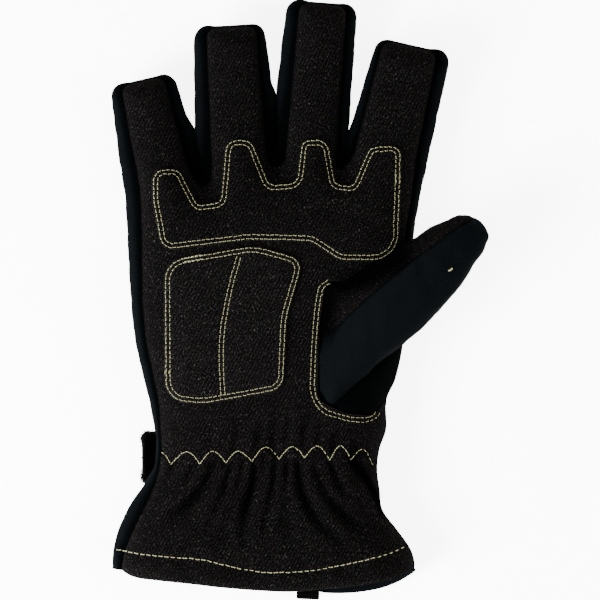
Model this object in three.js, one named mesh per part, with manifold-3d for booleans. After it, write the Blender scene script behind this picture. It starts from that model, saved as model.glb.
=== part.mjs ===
// A right-hand extrication glove, padded and hollow, lying on its back with the palm up.
// Millimetres, +Z up, +Y from the cuff to the finger tips, +X to the thumb side; the glove rests on z = 0.
// Every panel is a solid of its own, about one wall thick, and meets its neighbours along mitred seams
// with a small gap. Thread, weave and fine puckers are not modelled here.
import * as THREE from "three";
import Module from "manifold-3d";
import { mergeVertices } from "three/addons/utils/BufferGeometryUtils.js";

const wasm = await Module();
wasm.setup();

// Driving dimensions
const wall = 2.4; // shell fabric with its padded lining
const seamInset = 0.2; // each panel stops this far from the seam line
const stripDrop = 0.4; // how far a side strip's rim lies below the panel's rim
const cutGap = 0.35; // gap left by a cut between two pieces
const cuffLineY = -82; // the palm fabric is made in two pieces, hand and cuff, that meet below the elastic
const sideSeamHeight = 13; // height of the seam where palm and back meet directly
const tipSeamHalf = 3.1; // half height of the side strips at a finger's tip
const tipBulge = 0.9; // how far the strips bulge past the palm fabric at a finger's tip
const tipRounding = 10; // length over which a finger's end turns down to its seam
const cornerRadius = 5; // of the palm fabric at a finger's tip, seen from above
const stripRoom = 0.35; // half the clear space that two bulging strips keep between them
const fingerRoll = 4.5; // how fast the surface rises from a finger's side seam
const backRoll = 5; // how fast the back falls away from its seams to the ground
const flatBelow = 0.05; // the back is quite flat where its curve would rise less than this
const fingerTop = { seamTop: 17, seamBottom: 5, top: 22 }; // heights of a finger's shaft
const hemFold = 0.7; // extra thickness of the folded hem
const hemDepth = 8.5; // width of the folded hem
// The hem curves up from its lowest point towards both sides; at the back it hangs lower on the thumb side
const hem = { x: -8, y: -134.8, rise: 11.2, power: 2.35, leftReach: 75, rightReach: 62, backDrop: 3.4 };

// Fingers from the little one to the index: the middle of the root line, the lean to the right in degrees,
// the length to the tip seam, how far the tip curls up, and the palm fabric's half widths
const FINGERS = [
  { baseX: -64.2, baseY: 63.0, lean: -12.6, length: 37.8, curl: 2.5, rootHalf: 11.9, tipHalf: 10.7 },
  { baseX: -27.8, baseY: 63.0, lean: -3.4, length: 61.8, curl: 4.5, rootHalf: 13.1, tipHalf: 12.0 },
  { baseX: 5.1, baseY: 63.9, lean: 4.7, length: 71.4, curl: 5.5, rootHalf: 12.0, tipHalf: 11.4 },
  { baseX: 39.6, baseY: 65.3, lean: 12.9, length: 51.8, curl: 4.0, rootHalf: 14.5, tipHalf: 13.2 },
];
// How far the side strips bulge past the palm fabric at each finger's root and tip
const FINGER_BULGES = [
  { leftRoot: 7.1, leftTip: 4.6, rightRoot: 6.0, rightTip: 4.0 },
  { leftRoot: 7.4, leftTip: 5.4, rightRoot: 6.6, rightTip: 3.2 },
  { leftRoot: 7.8, leftTip: 5.4, rightRoot: 4.8, rightTip: 4.4 },
  { leftRoot: 4.6, leftTip: 2.6, rightRoot: 3.9, rightTip: 3.1 },
];
// Crotches between the fingers, from the little finger's side: how far the seam loop reaches down
const CROTCHES = [{ depth: 12.6 }, { depth: 3.8 }, { depth: 5.4 }];

// The palm fabric's outer seams up the hand, and how far the fabric bulges past them
const SIDES = [
  { y: -135, left: -82.5, right: 55.5, leftBulge: 4.2, rightBulge: 0 },
  { y: -124, left: -81.8, right: 53.4, leftBulge: 4.4, rightBulge: 0 },
  { y: -116, left: -80.3, right: 50.8, leftBulge: 5.4, rightBulge: 0 },
  { y: -107, left: -76.4, right: 44.4, leftBulge: 6.6, rightBulge: 0 },
  { y: -98, left: -72.2, right: 37.4, leftBulge: 6.2, rightBulge: 0 },
  { y: -89, left: -68.0, right: 35.9, leftBulge: 4.8, rightBulge: 0 },
  { y: -79, left: -64.9, right: 34.6, leftBulge: 2.4, rightBulge: 0 },
  { y: -70, left: -64.0, right: 35.8, leftBulge: 2.0, rightBulge: 0 },
  { y: -61, left: -64.2, right: 39.0, leftBulge: 2.4, rightBulge: 0 },
  { y: -47, left: -65.3, right: 39.0, leftBulge: 4.2, rightBulge: 0 },
  { y: -38, left: -67.2, right: 43.4, leftBulge: 4.4, rightBulge: 0 },
  { y: -20, left: -70.8, right: 47.6, leftBulge: 4.8, rightBulge: 0 },
  { y: 0, left: -72.5, right: 48.2, leftBulge: 5.4, rightBulge: 1.6 },
  { y: 26, left: -72.9, right: 48.8, leftBulge: 6.4, rightBulge: 2.7 },
  { y: 45, left: -73.6, right: 51.5, leftBulge: 6.9, rightBulge: 2.9 },
  { y: 61, left: -75.6, right: 53.9, leftBulge: 7.0, rightBulge: 3.8 },
];
// Heights up the hand: seams above and below the side strips, the middle of the palm, how fast the palm
// rises from its seams, and how far the back stays off the surface
const HEIGHTS = [
  { y: -136, seamTop: 19.0, seamBottom: 8.5, top: 30, roll: 10, room: 0 },
  { y: -104, seamTop: 21.0, seamBottom: 8.5, top: 31, roll: 9.5, room: 0 },
  { y: -88, seamTop: 21.0, seamBottom: 9.0, top: 31, roll: 9, room: 3.0 },
  { y: -75, seamTop: 21.0, seamBottom: 9.5, top: 31, roll: 9, room: 3.3 },
  { y: -60, seamTop: 21.5, seamBottom: 9.0, top: 31.5, roll: 9, room: 3.1 },
  { y: -46, seamTop: 22.0, seamBottom: 8.0, top: 32, roll: 9.5, room: 0 },
  { y: 0, seamTop: 22.0, seamBottom: 7.0, top: 32, roll: 10, room: 0 },
  { y: 40, seamTop: 19.5, seamBottom: 6.0, top: 28.5, roll: 7.5, room: 0 },
  { y: 63, seamTop: 17.0, seamBottom: 5.0, top: 23.5, roll: 4.8, room: 0 },
];
// Gathers below the wrist: where each valley starts at the zigzag, where it ends, depth, half width, end
const GATHERS = [
  { startX: -50, endX: -63, depth: 1.6, halfWidth: 4.2, endY: -108 },
  { startX: -35, endX: -45, depth: 2.4, halfWidth: 4.2, endY: -112 },
  { startX: -20, endX: -27, depth: 2.6, halfWidth: 4.4, endY: -122 },
  { startX: -4, endX: -3, depth: 1.6, halfWidth: 4.2, endY: -110 },
  { startX: 8, endX: 14, depth: 2.4, halfWidth: 4.4, endY: -116 },
  { startX: 22, endX: 34, depth: 2.6, halfWidth: 4.2, endY: -112 },
];
const gatherStart = -72;

// Thumb, from the palm to the tip: its upper and lower edges seen from above, its heights and its squareness
const THUMB = [
  { upX: 14.3, upY: 7.4, downX: 10.1, downY: -47.4, high: 32.2, low: 9, square: 5 },
  { upX: 20.7, upY: 10.1, downX: 15.2, downY: -49.7, high: 35.5, low: 8.5, square: 3.8 },
  { upX: 28.5, upY: 13.8, downX: 25.8, downY: -39.6, high: 38.8, low: 8, square: 3.0 },
  { upX: 38.6, upY: 18.9, downX: 38.6, downY: -28.5, high: 41.0, low: 8.5, square: 2.6 },
  { upX: 48.3, upY: 24.4, downX: 51.5, downY: -18.4, high: 41.5, low: 10, square: 2.5 },
  { upX: 56.6, upY: 29.6, downX: 63.4, downY: -6.8, high: 41.0, low: 12.5, square: 2.4 },
  { upX: 64.4, upY: 34.0, downX: 72.5, downY: 3.5, high: 39.8, low: 14.5, square: 2.4 },
  { upX: 70.8, upY: 36.9, downX: 79.3, downY: 13.8, high: 37.8, low: 16.5, square: 2.3 },
  { upX: 75.9, upY: 38.0, downX: 83.7, downY: 21.0, high: 35.5, low: 18.5, square: 2.2 },
  { upX: 80.3, upY: 37.6, downX: 86.4, downY: 26.4, high: 32.4, low: 21.5, square: 2.1 },
];
const thumbTip = { x: 85.2, y: 33.2, z: 27 };
const thumbSides = 18;
// The thumb's top seam runs between these two points; the cut leans, and the textured side is broader below
const thumbSeam = { fromX: 8.2, fromY: -19.5, toX: 70.3, toY: 31.1, atHeight: 38, lean: 0.32 };
// The edge of the palm fabric round the thumb, as corners with their radii
const THUMB_HOLE = [
  { x: 12.0, y: 6.4, r: 4 }, { x: 8.7, y: -15.2, r: 30 }, { x: 8.1, y: -46.9, r: 6 },
  { x: 20.7, y: -53.1, r: 9 }, { x: 34.0, y: -54.7, r: 4 }, { x: 40.9, y: -46.5, r: 1 },
  { x: 60, y: -46.5, r: 1 }, { x: 60, y: 20, r: 1 }, { x: 48.3, y: 17.3, r: 1 },
  { x: 38.6, y: 12.7, r: 9 }, { x: 28.5, y: 7.7, r: 9 }, { x: 20.7, y: 4.5, r: 6 },
];

// Reinforcement pads, as corners of the middle line between their two stitch rows
const padOverhang = 1.9; // the pad's edge lies this far outside that line
const padThickness = 1.5;
const padGap = 0.3;
const KNUCKLE_PAD = [
  { x: -66.0, y: 57.3, r: 4.2 }, { x: -56.1, y: 57.3, r: 3.4 }, { x: -47.4, y: 40.5, r: 4.2 },
  { x: -34.7, y: 42.3, r: 4.6 }, { x: -32.4, y: 70.8, r: 4 }, { x: -23.0, y: 70.8, r: 4.4 },
  { x: -14.7, y: 49.7, r: 5 }, { x: 0, y: 51.1, r: 5.6 }, { x: 2.3, y: 70.6, r: 2.4 },
  { x: 11.7, y: 70.8, r: 4 }, { x: 15.2, y: 50.6, r: 4.2 }, { x: 25.3, y: 49.2, r: 4.2 },
  { x: 33.1, y: 67.6, r: 4 }, { x: 45.3, y: 68.1, r: 3.2 }, { x: 43.5, y: 18.4, r: 7 },
  { x: 18.9, y: 18.2, r: 8 }, { x: 5.5, y: 26.9, r: 9 }, { x: -23.0, y: 27.6, r: 40 },
  { x: -61.9, y: 23.0, r: 4.6 }, { x: -65.8, y: 44.6, r: 14 },
];
const HEEL_PAD = [
  { x: -60.3, y: 15.2, r: 9 }, { x: -20.7, y: 22.1, r: 26 }, { x: 0, y: 16.1, r: 4.6 },
  { x: -7.4, y: -9.7, r: 40 }, { x: -8.7, y: -40.9, r: 6 }, { x: -43.7, y: -47.4, r: 30 },
  { x: -60.0, y: -46.0, r: 9 },
];

// The wrist strap, and how far and over what length its free end turns up
const strapSize = { width: 24, thickness: 2.6, endX: -72.8, startX: 24, middleY: -74.3, corner: 3 };
const strapEnd = { lift: 6.5, length: 14, steps: 5 };
// The pull tab's folded ribbon, with the slot that the fold leaves and the slant of its end
const tabSize = { width: 10.6, length: 13, ribbon: 1.3, slot: 0.5, skew: 0.25 };
const tabPlace = { x: 3.9, endY: -137.9, z: 2.8 };
const sideStripEndY = -10; // the index strip is made down to here and then cut by the thumb
const arcStep = 0.52; // angle between the points of a rounded corner

const textured = { color: 0x1d1a1b, roughness: 0.95 };
const navy = { color: 0x0d1318, roughness: 0.9 };
const webbing = { color: 0x08090a, roughness: 1 };

// Values of a table's column at a height up the hand, on a smooth curve through the rows
function along(table, column, at) {
  const last = table.length - 1;
  const y = Math.min(Math.max(at, table[0].y), table[last].y);
  let i = 0;
  while (i < last - 1 && y > table[i + 1].y) i++;
  const slope = (k) => {
    const a = table[Math.max(k - 1, 0)];
    const b = table[Math.min(k + 1, last)];
    return (b[column] - a[column]) / (b.y - a.y);
  };
  const p = table[i];
  const q = table[i + 1];
  const h = q.y - p.y;
  const t = (y - p.y) / h;
  const u = 1 - t;
  return (
    p[column] * u * u * (1 + 2 * t) +
    q[column] * t * t * (3 - 2 * t) +
    slope(i) * h * t * u * u -
    slope(i + 1) * h * t * t * u
  );
}

const mix = (a, b, t) => a + (b - a) * t;
const smooth = (from, to, v) => {
  const t = Math.min(Math.max((v - from) / (to - from), 0), 1);
  return t * t * (3 - 2 * t);
};

// The hem's lower edge: lowest near the middle of the palm, higher at both sides
function hemY(x, back) {
  const fromMiddle = Math.abs(x - hem.x) / (x < hem.x ? hem.leftReach : hem.rightReach);
  const lower = back ? hem.backDrop * smooth(2, 22, x) * (1 - smooth(38, 56, x)) : 0;
  return hem.y + hem.rise * Math.pow(fromMiddle, hem.power) - lower;
}

// A point of a finger seen from above: u is -1 to 1 across and v is 0 to 1 to the tip, with round corners
function fingerPoint(finger, u, v) {
  const half = mix(finger.rootHalf, finger.tipHalf, v);
  let across = u * half;
  let up = v * finger.length;
  const overSide = Math.abs(across) - (half - cornerRadius);
  const overEnd = up - (finger.length - cornerRadius);
  if (overSide > 0 && overEnd > 0) {
    const reach = Math.max(overSide, overEnd);
    const slant = (Math.PI / 4) * (Math.min(overSide, overEnd) / reach);
    const turn = overSide >= overEnd ? slant : Math.PI / 2 - slant;
    across = Math.sign(u) * (half - cornerRadius + reach * Math.cos(turn));
    up = finger.length - cornerRadius + reach * Math.sin(turn);
  }
  const a = THREE.MathUtils.degToRad(finger.lean);
  const x = finger.baseX + across * Math.cos(a) + up * Math.sin(a);
  return [x, finger.baseY - across * Math.sin(a) + up * Math.cos(a)];
}

// The seam loop in a crotch, t from the left finger's root to the right finger's root
function crotchPoint(k, t) {
  const depth = CROTCHES[k].depth;
  const down = (finger, [x, y]) => {
    const a = THREE.MathUtils.degToRad(finger.lean);
    return [x - (Math.sin(a) * depth) / 0.75, y - (Math.cos(a) * depth) / 0.75];
  };
  const from = fingerPoint(FINGERS[k], 1, 0);
  const to = fingerPoint(FINGERS[k + 1], -1, 0);
  const points = [from, down(FINGERS[k], from), down(FINGERS[k + 1], to), to];
  return new THREE.CubicBezierCurve(...points.map((p) => new THREE.Vector2(...p))).getPoint(t).toArray();
}

// The comb-shaped grid of the hand: columns over the four fingers and the three crotches between them,
// rows from the hem to the finger roots and on to the tips. The outline runs along the side seams only,
// from the hem's left end round the fingers to its right end, and each of its points knows its bulge.
const FINGER_COLUMNS = [-1, -0.68, -0.24, 0.24, 0.68, 1];
const CROTCH_COLUMNS = [0.25, 0.5, 0.75];
const HAND_ROWS = [0, 0.045, 0.1, 0.16, 0.22, 0.27, 0.315, 0.37, 0.445, 0.53, 0.615, 0.7, 0.8, 0.9];
const TIP_SPLIT = 0.016; // half the gap between two strips at a finger's tip, as a share of its half width

function fingerRows(finger) {
  const corner = cornerRadius / finger.length;
  const count = Math.round((1 - corner) * finger.length * 0.07) + 1;
  const shaft = Array.from({ length: count }, (_, i) => ((i + 1) / count) * (1 - corner));
  return [...shaft, 1 - 0.45 * corner, 1];
}

function handGrid(back) {
  const points = [];
  const quads = [];
  const add = (p) => points.push(p) - 1;
  const columns = [];
  FINGERS.forEach((finger, k) => {
    for (const u of FINGER_COLUMNS) columns.push({ finger: k, root: fingerPoint(finger, u, 0) });
    if (k === CROTCHES.length) return;
    for (const t of CROTCH_COLUMNS) columns.push({ finger: -1, root: crotchPoint(k, t) });
  });
  const last = columns.length - 1;
  const rows = HAND_ROWS.map((up) =>
    columns.map(({ root }, i) => {
      const left = along(SIDES, "left", root[1]);
      const right = along(SIDES, "right", root[1]);
      const share = i === 0 ? 0 : i === last ? 1 : (root[0] - left) / (right - left);
      const across = mix(i / last, share, smooth(0, 0.75, up));
      const y = mix(hemY(mix(SIDES[1].left, SIDES[1].right, across), back), root[1], up);
      return add({ x: mix(along(SIDES, "left", y), along(SIDES, "right", y), across), y, finger: -1, v: 0 });
    }),
  );
  rows.push(columns.map(({ root, finger }) => add({ x: root[0], y: root[1], finger, v: 0 })));
  const fill = (lower, upper) => {
    for (let i = 0; i + 1 < lower.length; i++) quads.push([lower[i], lower[i + 1], upper[i + 1], upper[i]]);
  };
  for (let j = 0; j + 1 < rows.length; j++) fill(rows[j], rows[j + 1]);

  const sidePoint = (p, column) => ({ ...p, bulge: along(SIDES, column, p.y) });
  const outline = HAND_ROWS.map((_, j) => sidePoint(points[rows[j][0]], "leftBulge"));
  const tips = [];
  const roots = rows[rows.length - 1];
  let first = 0;
  FINGERS.forEach((finger, k) => {
    const onSide = (u, v) => {
      const [x, y] = fingerPoint(finger, u, v);
      const half = mix(finger.rootHalf, finger.tipHalf, v);
      const fromTip = (1 - v) * finger.length + Math.max(0, Math.abs(u) * half - half + cornerRadius);
      const side = u < 0 ? "left" : "right";
      const full = mix(FINGER_BULGES[k][side + "Root"], FINGER_BULGES[k][side + "Tip"], v);
      outline.push({ x, y, finger: k, v, bulge: mix(tipBulge, full, smooth(0, 9, fromTip)) });
    };
    const vs = fingerRows(finger);
    let below = roots.slice(first, first + FINGER_COLUMNS.length);
    for (const v of vs) {
      const row = FINGER_COLUMNS.map((u) => {
        const [x, y] = fingerPoint(finger, u, v);
        return add({ x, y, finger: k, v });
      });
      fill(below, row);
      below = row;
    }
    for (const v of [0, ...vs]) onSide(-1, v);
    for (const u of FINGER_COLUMNS.slice(1, 3)) onSide(u, 1);
    onSide(-TIP_SPLIT, 1);
    tips.push(outline.length);
    onSide(TIP_SPLIT, 1);
    for (const u of FINGER_COLUMNS.slice(3, 5)) onSide(u, 1);
    for (const v of [0, ...vs].reverse()) onSide(1, v);
    first += FINGER_COLUMNS.length;
    if (k < CROTCHES.length) {
      CROTCH_COLUMNS.forEach((t, i) => {
        const bulge = mix(FINGER_BULGES[k].rightRoot, FINGER_BULGES[k + 1].leftRoot, t);
        outline.push({ ...points[roots[first + i]], bulge });
      });
      first += CROTCH_COLUMNS.length;
    }
  });
  const rightSide = HAND_ROWS.map((_, j) => sidePoint(points[rows[j][last]], "rightBulge"));
  outline.push(...rightSide.reverse());
  return { points, quads, outline, tips, width: columns.length };
}

// Gives each outline point its outward direction and the room that the gap beside it leaves for a bulge
function addDirections(outline) {
  const unit = (x, y) => {
    const length = Math.hypot(x, y) || 1;
    return [x / length, y / length];
  };
  outline.forEach((p, i) => {
    const a = outline[Math.max(i - 1, 0)];
    const b = outline[Math.min(i + 1, outline.length - 1)];
    const before = unit(p.x - a.x, p.y - a.y);
    const after = unit(b.x - p.x, b.y - p.y);
    const onward = unit(before[0] + after[0], before[1] + after[1]);
    p.nx = -onward[1];
    p.ny = onward[0];
  });
  outline.forEach((p, i) => {
    p.room = Infinity;
    outline.forEach((q, j) => {
      const ahead = (q.x - p.x) * p.nx + (q.y - p.y) * p.ny;
      if (Math.abs(i - j) < 2 || ahead <= 0) return;
      p.room = Math.min(p.room, ((q.x - p.x) ** 2 + (q.y - p.y) ** 2) / (2 * ahead));
    });
  });
}

// Distance from a point to the seam outline, and the inward direction there
function toOutline(outline, x, y) {
  let best = { distance: Infinity };
  for (let i = 0; i + 1 < outline.length; i++) {
    const a = outline[i];
    const b = outline[i + 1];
    const dx = b.x - a.x;
    const dy = b.y - a.y;
    const t = THREE.MathUtils.clamp(((x - a.x) * dx + (y - a.y) * dy) / (dx * dx + dy * dy), 0, 1);
    const distance = Math.hypot(x - a.x - t * dx, y - a.y - t * dy);
    if (distance < best.distance) best = { distance, nx: -mix(a.nx, b.nx, t), ny: -mix(a.ny, b.ny, t) };
  }
  return best;
}

// Heights of the seams and of the middle of the hand at a point; strip is 1 where a side strip joins
// palm and back and 0 below the thumb, where they meet in one seam
function levels(p) {
  const columns = ["seamTop", "seamBottom", "top", "roll", "room"];
  const l = Object.fromEntries(columns.map((column) => [column, along(HEIGHTS, column, p.y)]));
  l.room = Math.max(0, l.room);
  l.lift = 0;
  l.strip = 1;
  if (p.finger < 0) {
    const joined = (1 - smooth(-12, 16, p.y)) * smooth(-2, 22, p.x);
    l.seamTop = mix(l.seamTop, sideSeamHeight + seamInset, joined);
    l.seamBottom = mix(l.seamBottom, sideSeamHeight - seamInset, joined);
    l.strip = 1 - joined;
    return l;
  }
  const finger = FINGERS[p.finger];
  const out = smooth(0, 0.45, p.v);
  const closed = 1 - smooth(0, tipRounding, (1 - p.v) * finger.length);
  const middle = (fingerTop.seamTop + fingerTop.seamBottom) / 2;
  l.seamTop = mix(mix(l.seamTop, fingerTop.seamTop, out), middle + tipSeamHalf, closed);
  l.seamBottom = mix(mix(l.seamBottom, fingerTop.seamBottom, out), middle - tipSeamHalf, closed);
  l.top = mix(l.top, fingerTop.top, out) - 2 * closed;
  l.roll = mix(l.roll, fingerRoll, out);
  l.lift = finger.curl * p.v * p.v;
  return l;
}

// How deep the gathers press into the palm fabric at a point of the cuff
function gatherDepth(x, y) {
  let depth = 0;
  for (const g of GATHERS) {
    const t = (y - gatherStart) / (g.endY - gatherStart);
    if (t <= 0 || t >= 1) continue;
    const off = (x - mix(g.startX, g.endX, t)) / (g.halfWidth * (1 + 0.5 * t));
    depth += g.depth * Math.exp(-off * off) * Math.pow(Math.sin(Math.PI * Math.pow(t, 0.6)), 0.8);
  }
  return depth;
}

// Heights of the palm's and the back's outer surface, or of the inner one with inner as 1, at a
// distance from the side seam
function palmHeight(p, distance, inner) {
  const l = levels(p);
  const seam = l.seamTop - inner * wall * l.strip;
  const top = l.top - inner * wall;
  const overHem = smooth(hemDepth - 0.6, hemDepth + 0.6, p.y - hemY(p.x, false));
  const fold = inner || p.finger >= 0 ? 0 : hemFold * (1 - overHem);
  return l.lift + top - (top - seam) * Math.exp(-distance / l.roll) - gatherDepth(p.x, p.y) + fold;
}
function backHeight(p, distance, inner) {
  const l = levels(p);
  const seam = l.seamBottom + inner * wall * l.strip;
  const bottom = l.room + inner * wall;
  const rise = (seam - bottom) * Math.exp(-Math.pow(distance / backRoll, 1.15));
  return l.lift + bottom + (distance === 0 ? rise : Math.max(0, rise - flatBelow));
}

// The outer and inner points of the palm or the back. The inner ones lie a wall's width further from the
// seams, so that the panel's rim is a mitre.
function panelPoints(grid, height) {
  const at = (p, inset, inner) => {
    const near = toOutline(grid.outline, p.x, p.y);
    const pull = Math.max(0, 1 - near.distance / (3 * inset)) * inset;
    const inside = near.distance < 3 * inset ? (near.distance * 2) / 3 : near.distance - inset;
    const onHem = p.finger < 0 && p.y - hemY(p.x, false) < 1;
    return [p.x + near.nx * pull, p.y + (onHem ? 0 : near.ny * pull), height(p, inside, inner)];
  };
  return {
    outer: grid.points.map((p) => at(p, seamInset, 0)),
    inner: grid.points.map((p) => at(p, wall + seamInset, 1)),
  };
}

function geometryOf(positions, index) {
  const geometry = new THREE.BufferGeometry();
  geometry.setAttribute("position", new THREE.Float32BufferAttribute(positions, 3));
  geometry.setIndex(index);
  return geometry;
}

// Closes a sheet of quads into a solid between its outer and inner points. Facing rims of a panel and a
// strip split their twisted quads along the same diagonals, so one of them is crossed.
function thicken(quads, outer, inner, crossed = false) {
  const count = outer.length;
  const index = [];
  const edges = new Map();
  for (const q of quads) {
    index.push(q[0], q[1], q[2], q[0], q[2], q[3]);
    index.push(q[0] + count, q[2] + count, q[1] + count, q[0] + count, q[3] + count, q[2] + count);
    q.forEach((a, i) => {
      const b = q[(i + 1) % 4];
      if (!edges.delete(b + "," + a)) edges.set(a + "," + b, [a, b]);
    });
  }
  for (const [a, b] of edges.values()) {
    if (crossed) index.push(a, a + count, b, b, a + count, b + count);
    else index.push(a, b + count, b, a, a + count, b + count);
  }
  return geometryOf([...outer, ...inner].flat(), index);
}

// From a closed geometry to a solid that can be cut and joined, and back
function solidOf(geometry) {
  const bare = new THREE.BufferGeometry();
  bare.setAttribute("position", geometry.getAttribute("position"));
  if (geometry.index) bare.setIndex(geometry.index);
  const merged = mergeVertices(bare, 1e-4);
  const vertProperties = merged.attributes.position.array;
  const triVerts = new Uint32Array(merged.index.array);
  return new wasm.Manifold(new wasm.Mesh({ numProp: 3, vertProperties, triVerts }));
}
function geometryFrom(solid) {
  const mesh = solid.getMesh();
  return geometryOf(Array.from(mesh.vertProperties), Array.from(mesh.triVerts));
}
const largest = (solid) => solid.decompose().sort((a, b) => b.volume() - a.volume())[0];

// A closed outline whose corners are rounded with their own radii, as points; grow moves it outwards
function roundedOutline(corners, grow) {
  const count = corners.length;
  const points = corners.flatMap((corner, i) => {
    const here = new THREE.Vector2(corner.x, corner.y);
    const towards = (other) => new THREE.Vector2(other.x, other.y).sub(here);
    const before = towards(corners[(i + count - 1) % count]);
    const after = towards(corners[(i + 1) % count]);
    const room = 0.48 * Math.min(before.length(), after.length());
    before.normalize();
    after.normalize();
    const half = Math.acos(THREE.MathUtils.clamp(before.dot(after), -1, 1)) / 2;
    const reach = Math.min(corner.r / Math.tan(half), room);
    const radius = reach * Math.tan(half);
    const middle = before.clone().add(after).normalize();
    const centre = here.clone().addScaledVector(middle, radius / Math.sin(half));
    const from = here.clone().addScaledVector(before, reach).sub(centre).angle();
    const to = here.clone().addScaledVector(after, reach).sub(centre).angle();
    const turn = THREE.MathUtils.euclideanModulo(to - from + Math.PI, 2 * Math.PI) - Math.PI;
    const steps = Math.max(1, Math.round(Math.abs(turn) / arcStep));
    return Array.from({ length: steps + 1 }, (_, k) => {
      const a = from + (turn * k) / steps;
      return new THREE.Vector2(centre.x + radius * Math.cos(a), centre.y + radius * Math.sin(a));
    });
  });
  const side = THREE.ShapeUtils.isClockWise(points) ? -grow : grow;
  return points.map((p, i) => {
    const next = points[(i + 1) % points.length];
    const last = points[(i + points.length - 1) % points.length];
    const onward = next.clone().sub(last).normalize();
    return new THREE.Vector2(p.x + onward.y * side, p.y - onward.x * side);
  });
}
function extrusion(outline, depth) {
  return new THREE.ExtrudeGeometry(new THREE.Shape(outline), { depth, bevelEnabled: false });
}
function prism(outline, low, high) {
  return solidOf(extrusion(outline, high - low).translate(0, 0, low));
}

const palmGrid = handGrid(false);
const backGrid = handGrid(true);
addDirections(palmGrid.outline);
addDirections(backGrid.outline);
const palmPoints = panelPoints(palmGrid, palmHeight);
const backPoints = panelPoints(backGrid, backHeight);

// The hollow between palm and back from the hem to the finger roots
function handHollow() {
  const width = palmGrid.width;
  const rows = HAND_ROWS.length + 1;
  const upper = palmPoints.inner.slice(0, rows * width);
  const lower = upper.map((p, i) => [p[0], p[1], Math.min(backPoints.inner[i][2], p[2] - 0.02)]);
  return solidOf(thicken(palmGrid.quads.slice(0, (rows - 1) * (width - 1)), upper, lower));
}

// A side strip over part of the outline, from seam to seam, bulging outwards between them
const STRIP_STEPS = [0, 0.25, 0.5, 0.75, 1];
function sideStrip(outline, from, to) {
  const outer = [];
  const inner = [];
  for (const p of outline.slice(from, to)) {
    const l = levels(p);
    const bulge = Math.max(0.2, Math.min(p.bulge, p.room - stripRoom));
    const rim = wall * l.strip + stripDrop;
    for (const t of STRIP_STEPS) {
      const out = bulge * Math.pow(Math.sin(Math.PI * t), 0.7);
      const place = (off, z) => [p.x + p.nx * off, p.y + p.ny * off, l.lift + z];
      outer.push(place(seamInset + out, mix(l.seamTop, l.seamBottom, t)));
      inner.push(place(out - wall - seamInset, mix(l.seamTop - rim, l.seamBottom + rim, t)));
    }
  }
  const quads = [];
  const n = STRIP_STEPS.length;
  for (let i = 0; i + 1 < to - from; i++)
    for (let t = i * n; t + 1 < (i + 1) * n; t++) quads.push([t + n, t + n + 1, t + 1, t]);
  return solidOf(thicken(quads, outer, inner, true));
}

// The thumb as a loft through its table; grow moves its skin outwards, and start lengthens its open end
function thumbSolid(grow, start) {
  const middleOf = (row) => {
    return new THREE.Vector3((row.upX + row.downX) / 2, (row.upY + row.downY) / 2, (row.high + row.low) / 2);
  };
  const positions = [];
  THUMB.forEach((row, i) => {
    const before = THUMB[Math.max(i - 1, 0)];
    const after = THUMB[Math.min(i + 1, THUMB.length - 1)];
    const onward = middleOf(after).sub(middleOf(before));
    const shift = i === 0 ? -start : grow * smooth(5, 9, i);
    const centre = middleOf(row).addScaledVector(onward.setZ(0).normalize(), shift);
    const across = new THREE.Vector3(row.upX - row.downX, row.upY - row.downY, 0);
    const half = across.length() / 2 + grow;
    const rise = (row.high - row.low) / 2 + grow;
    across.normalize();
    for (let k = 0; k < thumbSides; k++) {
      const angle = (2 * Math.PI * k) / thumbSides;
      const bent = (v) => Math.sign(v) * Math.pow(Math.abs(v), 2 / row.square);
      const point = centre.clone().addScaledVector(across, bent(Math.cos(angle)) * half);
      positions.push(point.x, point.y, point.z + bent(Math.sin(angle)) * rise);
    }
    if (i === 0) positions.push(...centre.toArray());
  });
  positions.push(thumbTip.x + grow * 0.85, thumbTip.y + grow * 0.5, thumbTip.z);
  // The first ring is followed by the middle of the open end, and the last one by the tip
  const startCentre = thumbSides;
  const tip = positions.length / 3 - 1;
  const at = (i, k) => i * thumbSides + (k % thumbSides) + (i > 0 ? 1 : 0);
  const last = THUMB.length - 1;
  const index = [];
  for (let k = 0; k < thumbSides; k++) {
    index.push(startCentre, at(0, k + 1), at(0, k));
    index.push(tip, at(last, k), at(last, k + 1));
    for (let i = 0; i < last; i++) {
      index.push(at(i, k), at(i, k + 1), at(i + 1, k + 1));
      index.push(at(i, k), at(i + 1, k + 1), at(i + 1, k));
    }
  }
  return solidOf(geometryOf(positions, index));
}

// Half of space on one side of the thumb's top seam, as a large block that leans with the cut
function besideThumbSeam(side) {
  const s = thumbSeam;
  const onward = new THREE.Vector3(s.toX - s.fromX, s.toY - s.fromY, 0).normalize();
  const out = new THREE.Vector3(-onward.y, onward.x, 0);
  const rising = new THREE.Vector3(0, 0, 1).addScaledVector(out, s.lean).normalize();
  const across = new THREE.Vector3().crossVectors(rising, onward);
  const size = 400;
  const block = new THREE.BoxGeometry(size, size, size);
  block.translate(0, (side * (size + cutGap)) / 2, 0);
  block.applyMatrix4(new THREE.Matrix4().makeBasis(onward, across, rising));
  return solidOf(block.translate(s.fromX, s.fromY, s.atHeight));
}

// A pad: a layer over the palm fabric, cut to its outline
function pad(corners) {
  const raised = (by) => palmPoints.outer.map(([x, y, z]) => [x, y, z + by]);
  const layer = solidOf(thicken(palmGrid.quads, raised(padGap + padThickness), raised(padGap)));
  return layer.intersect(prism(roundedOutline(corners, padOverhang), 0, 60));
}

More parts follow.
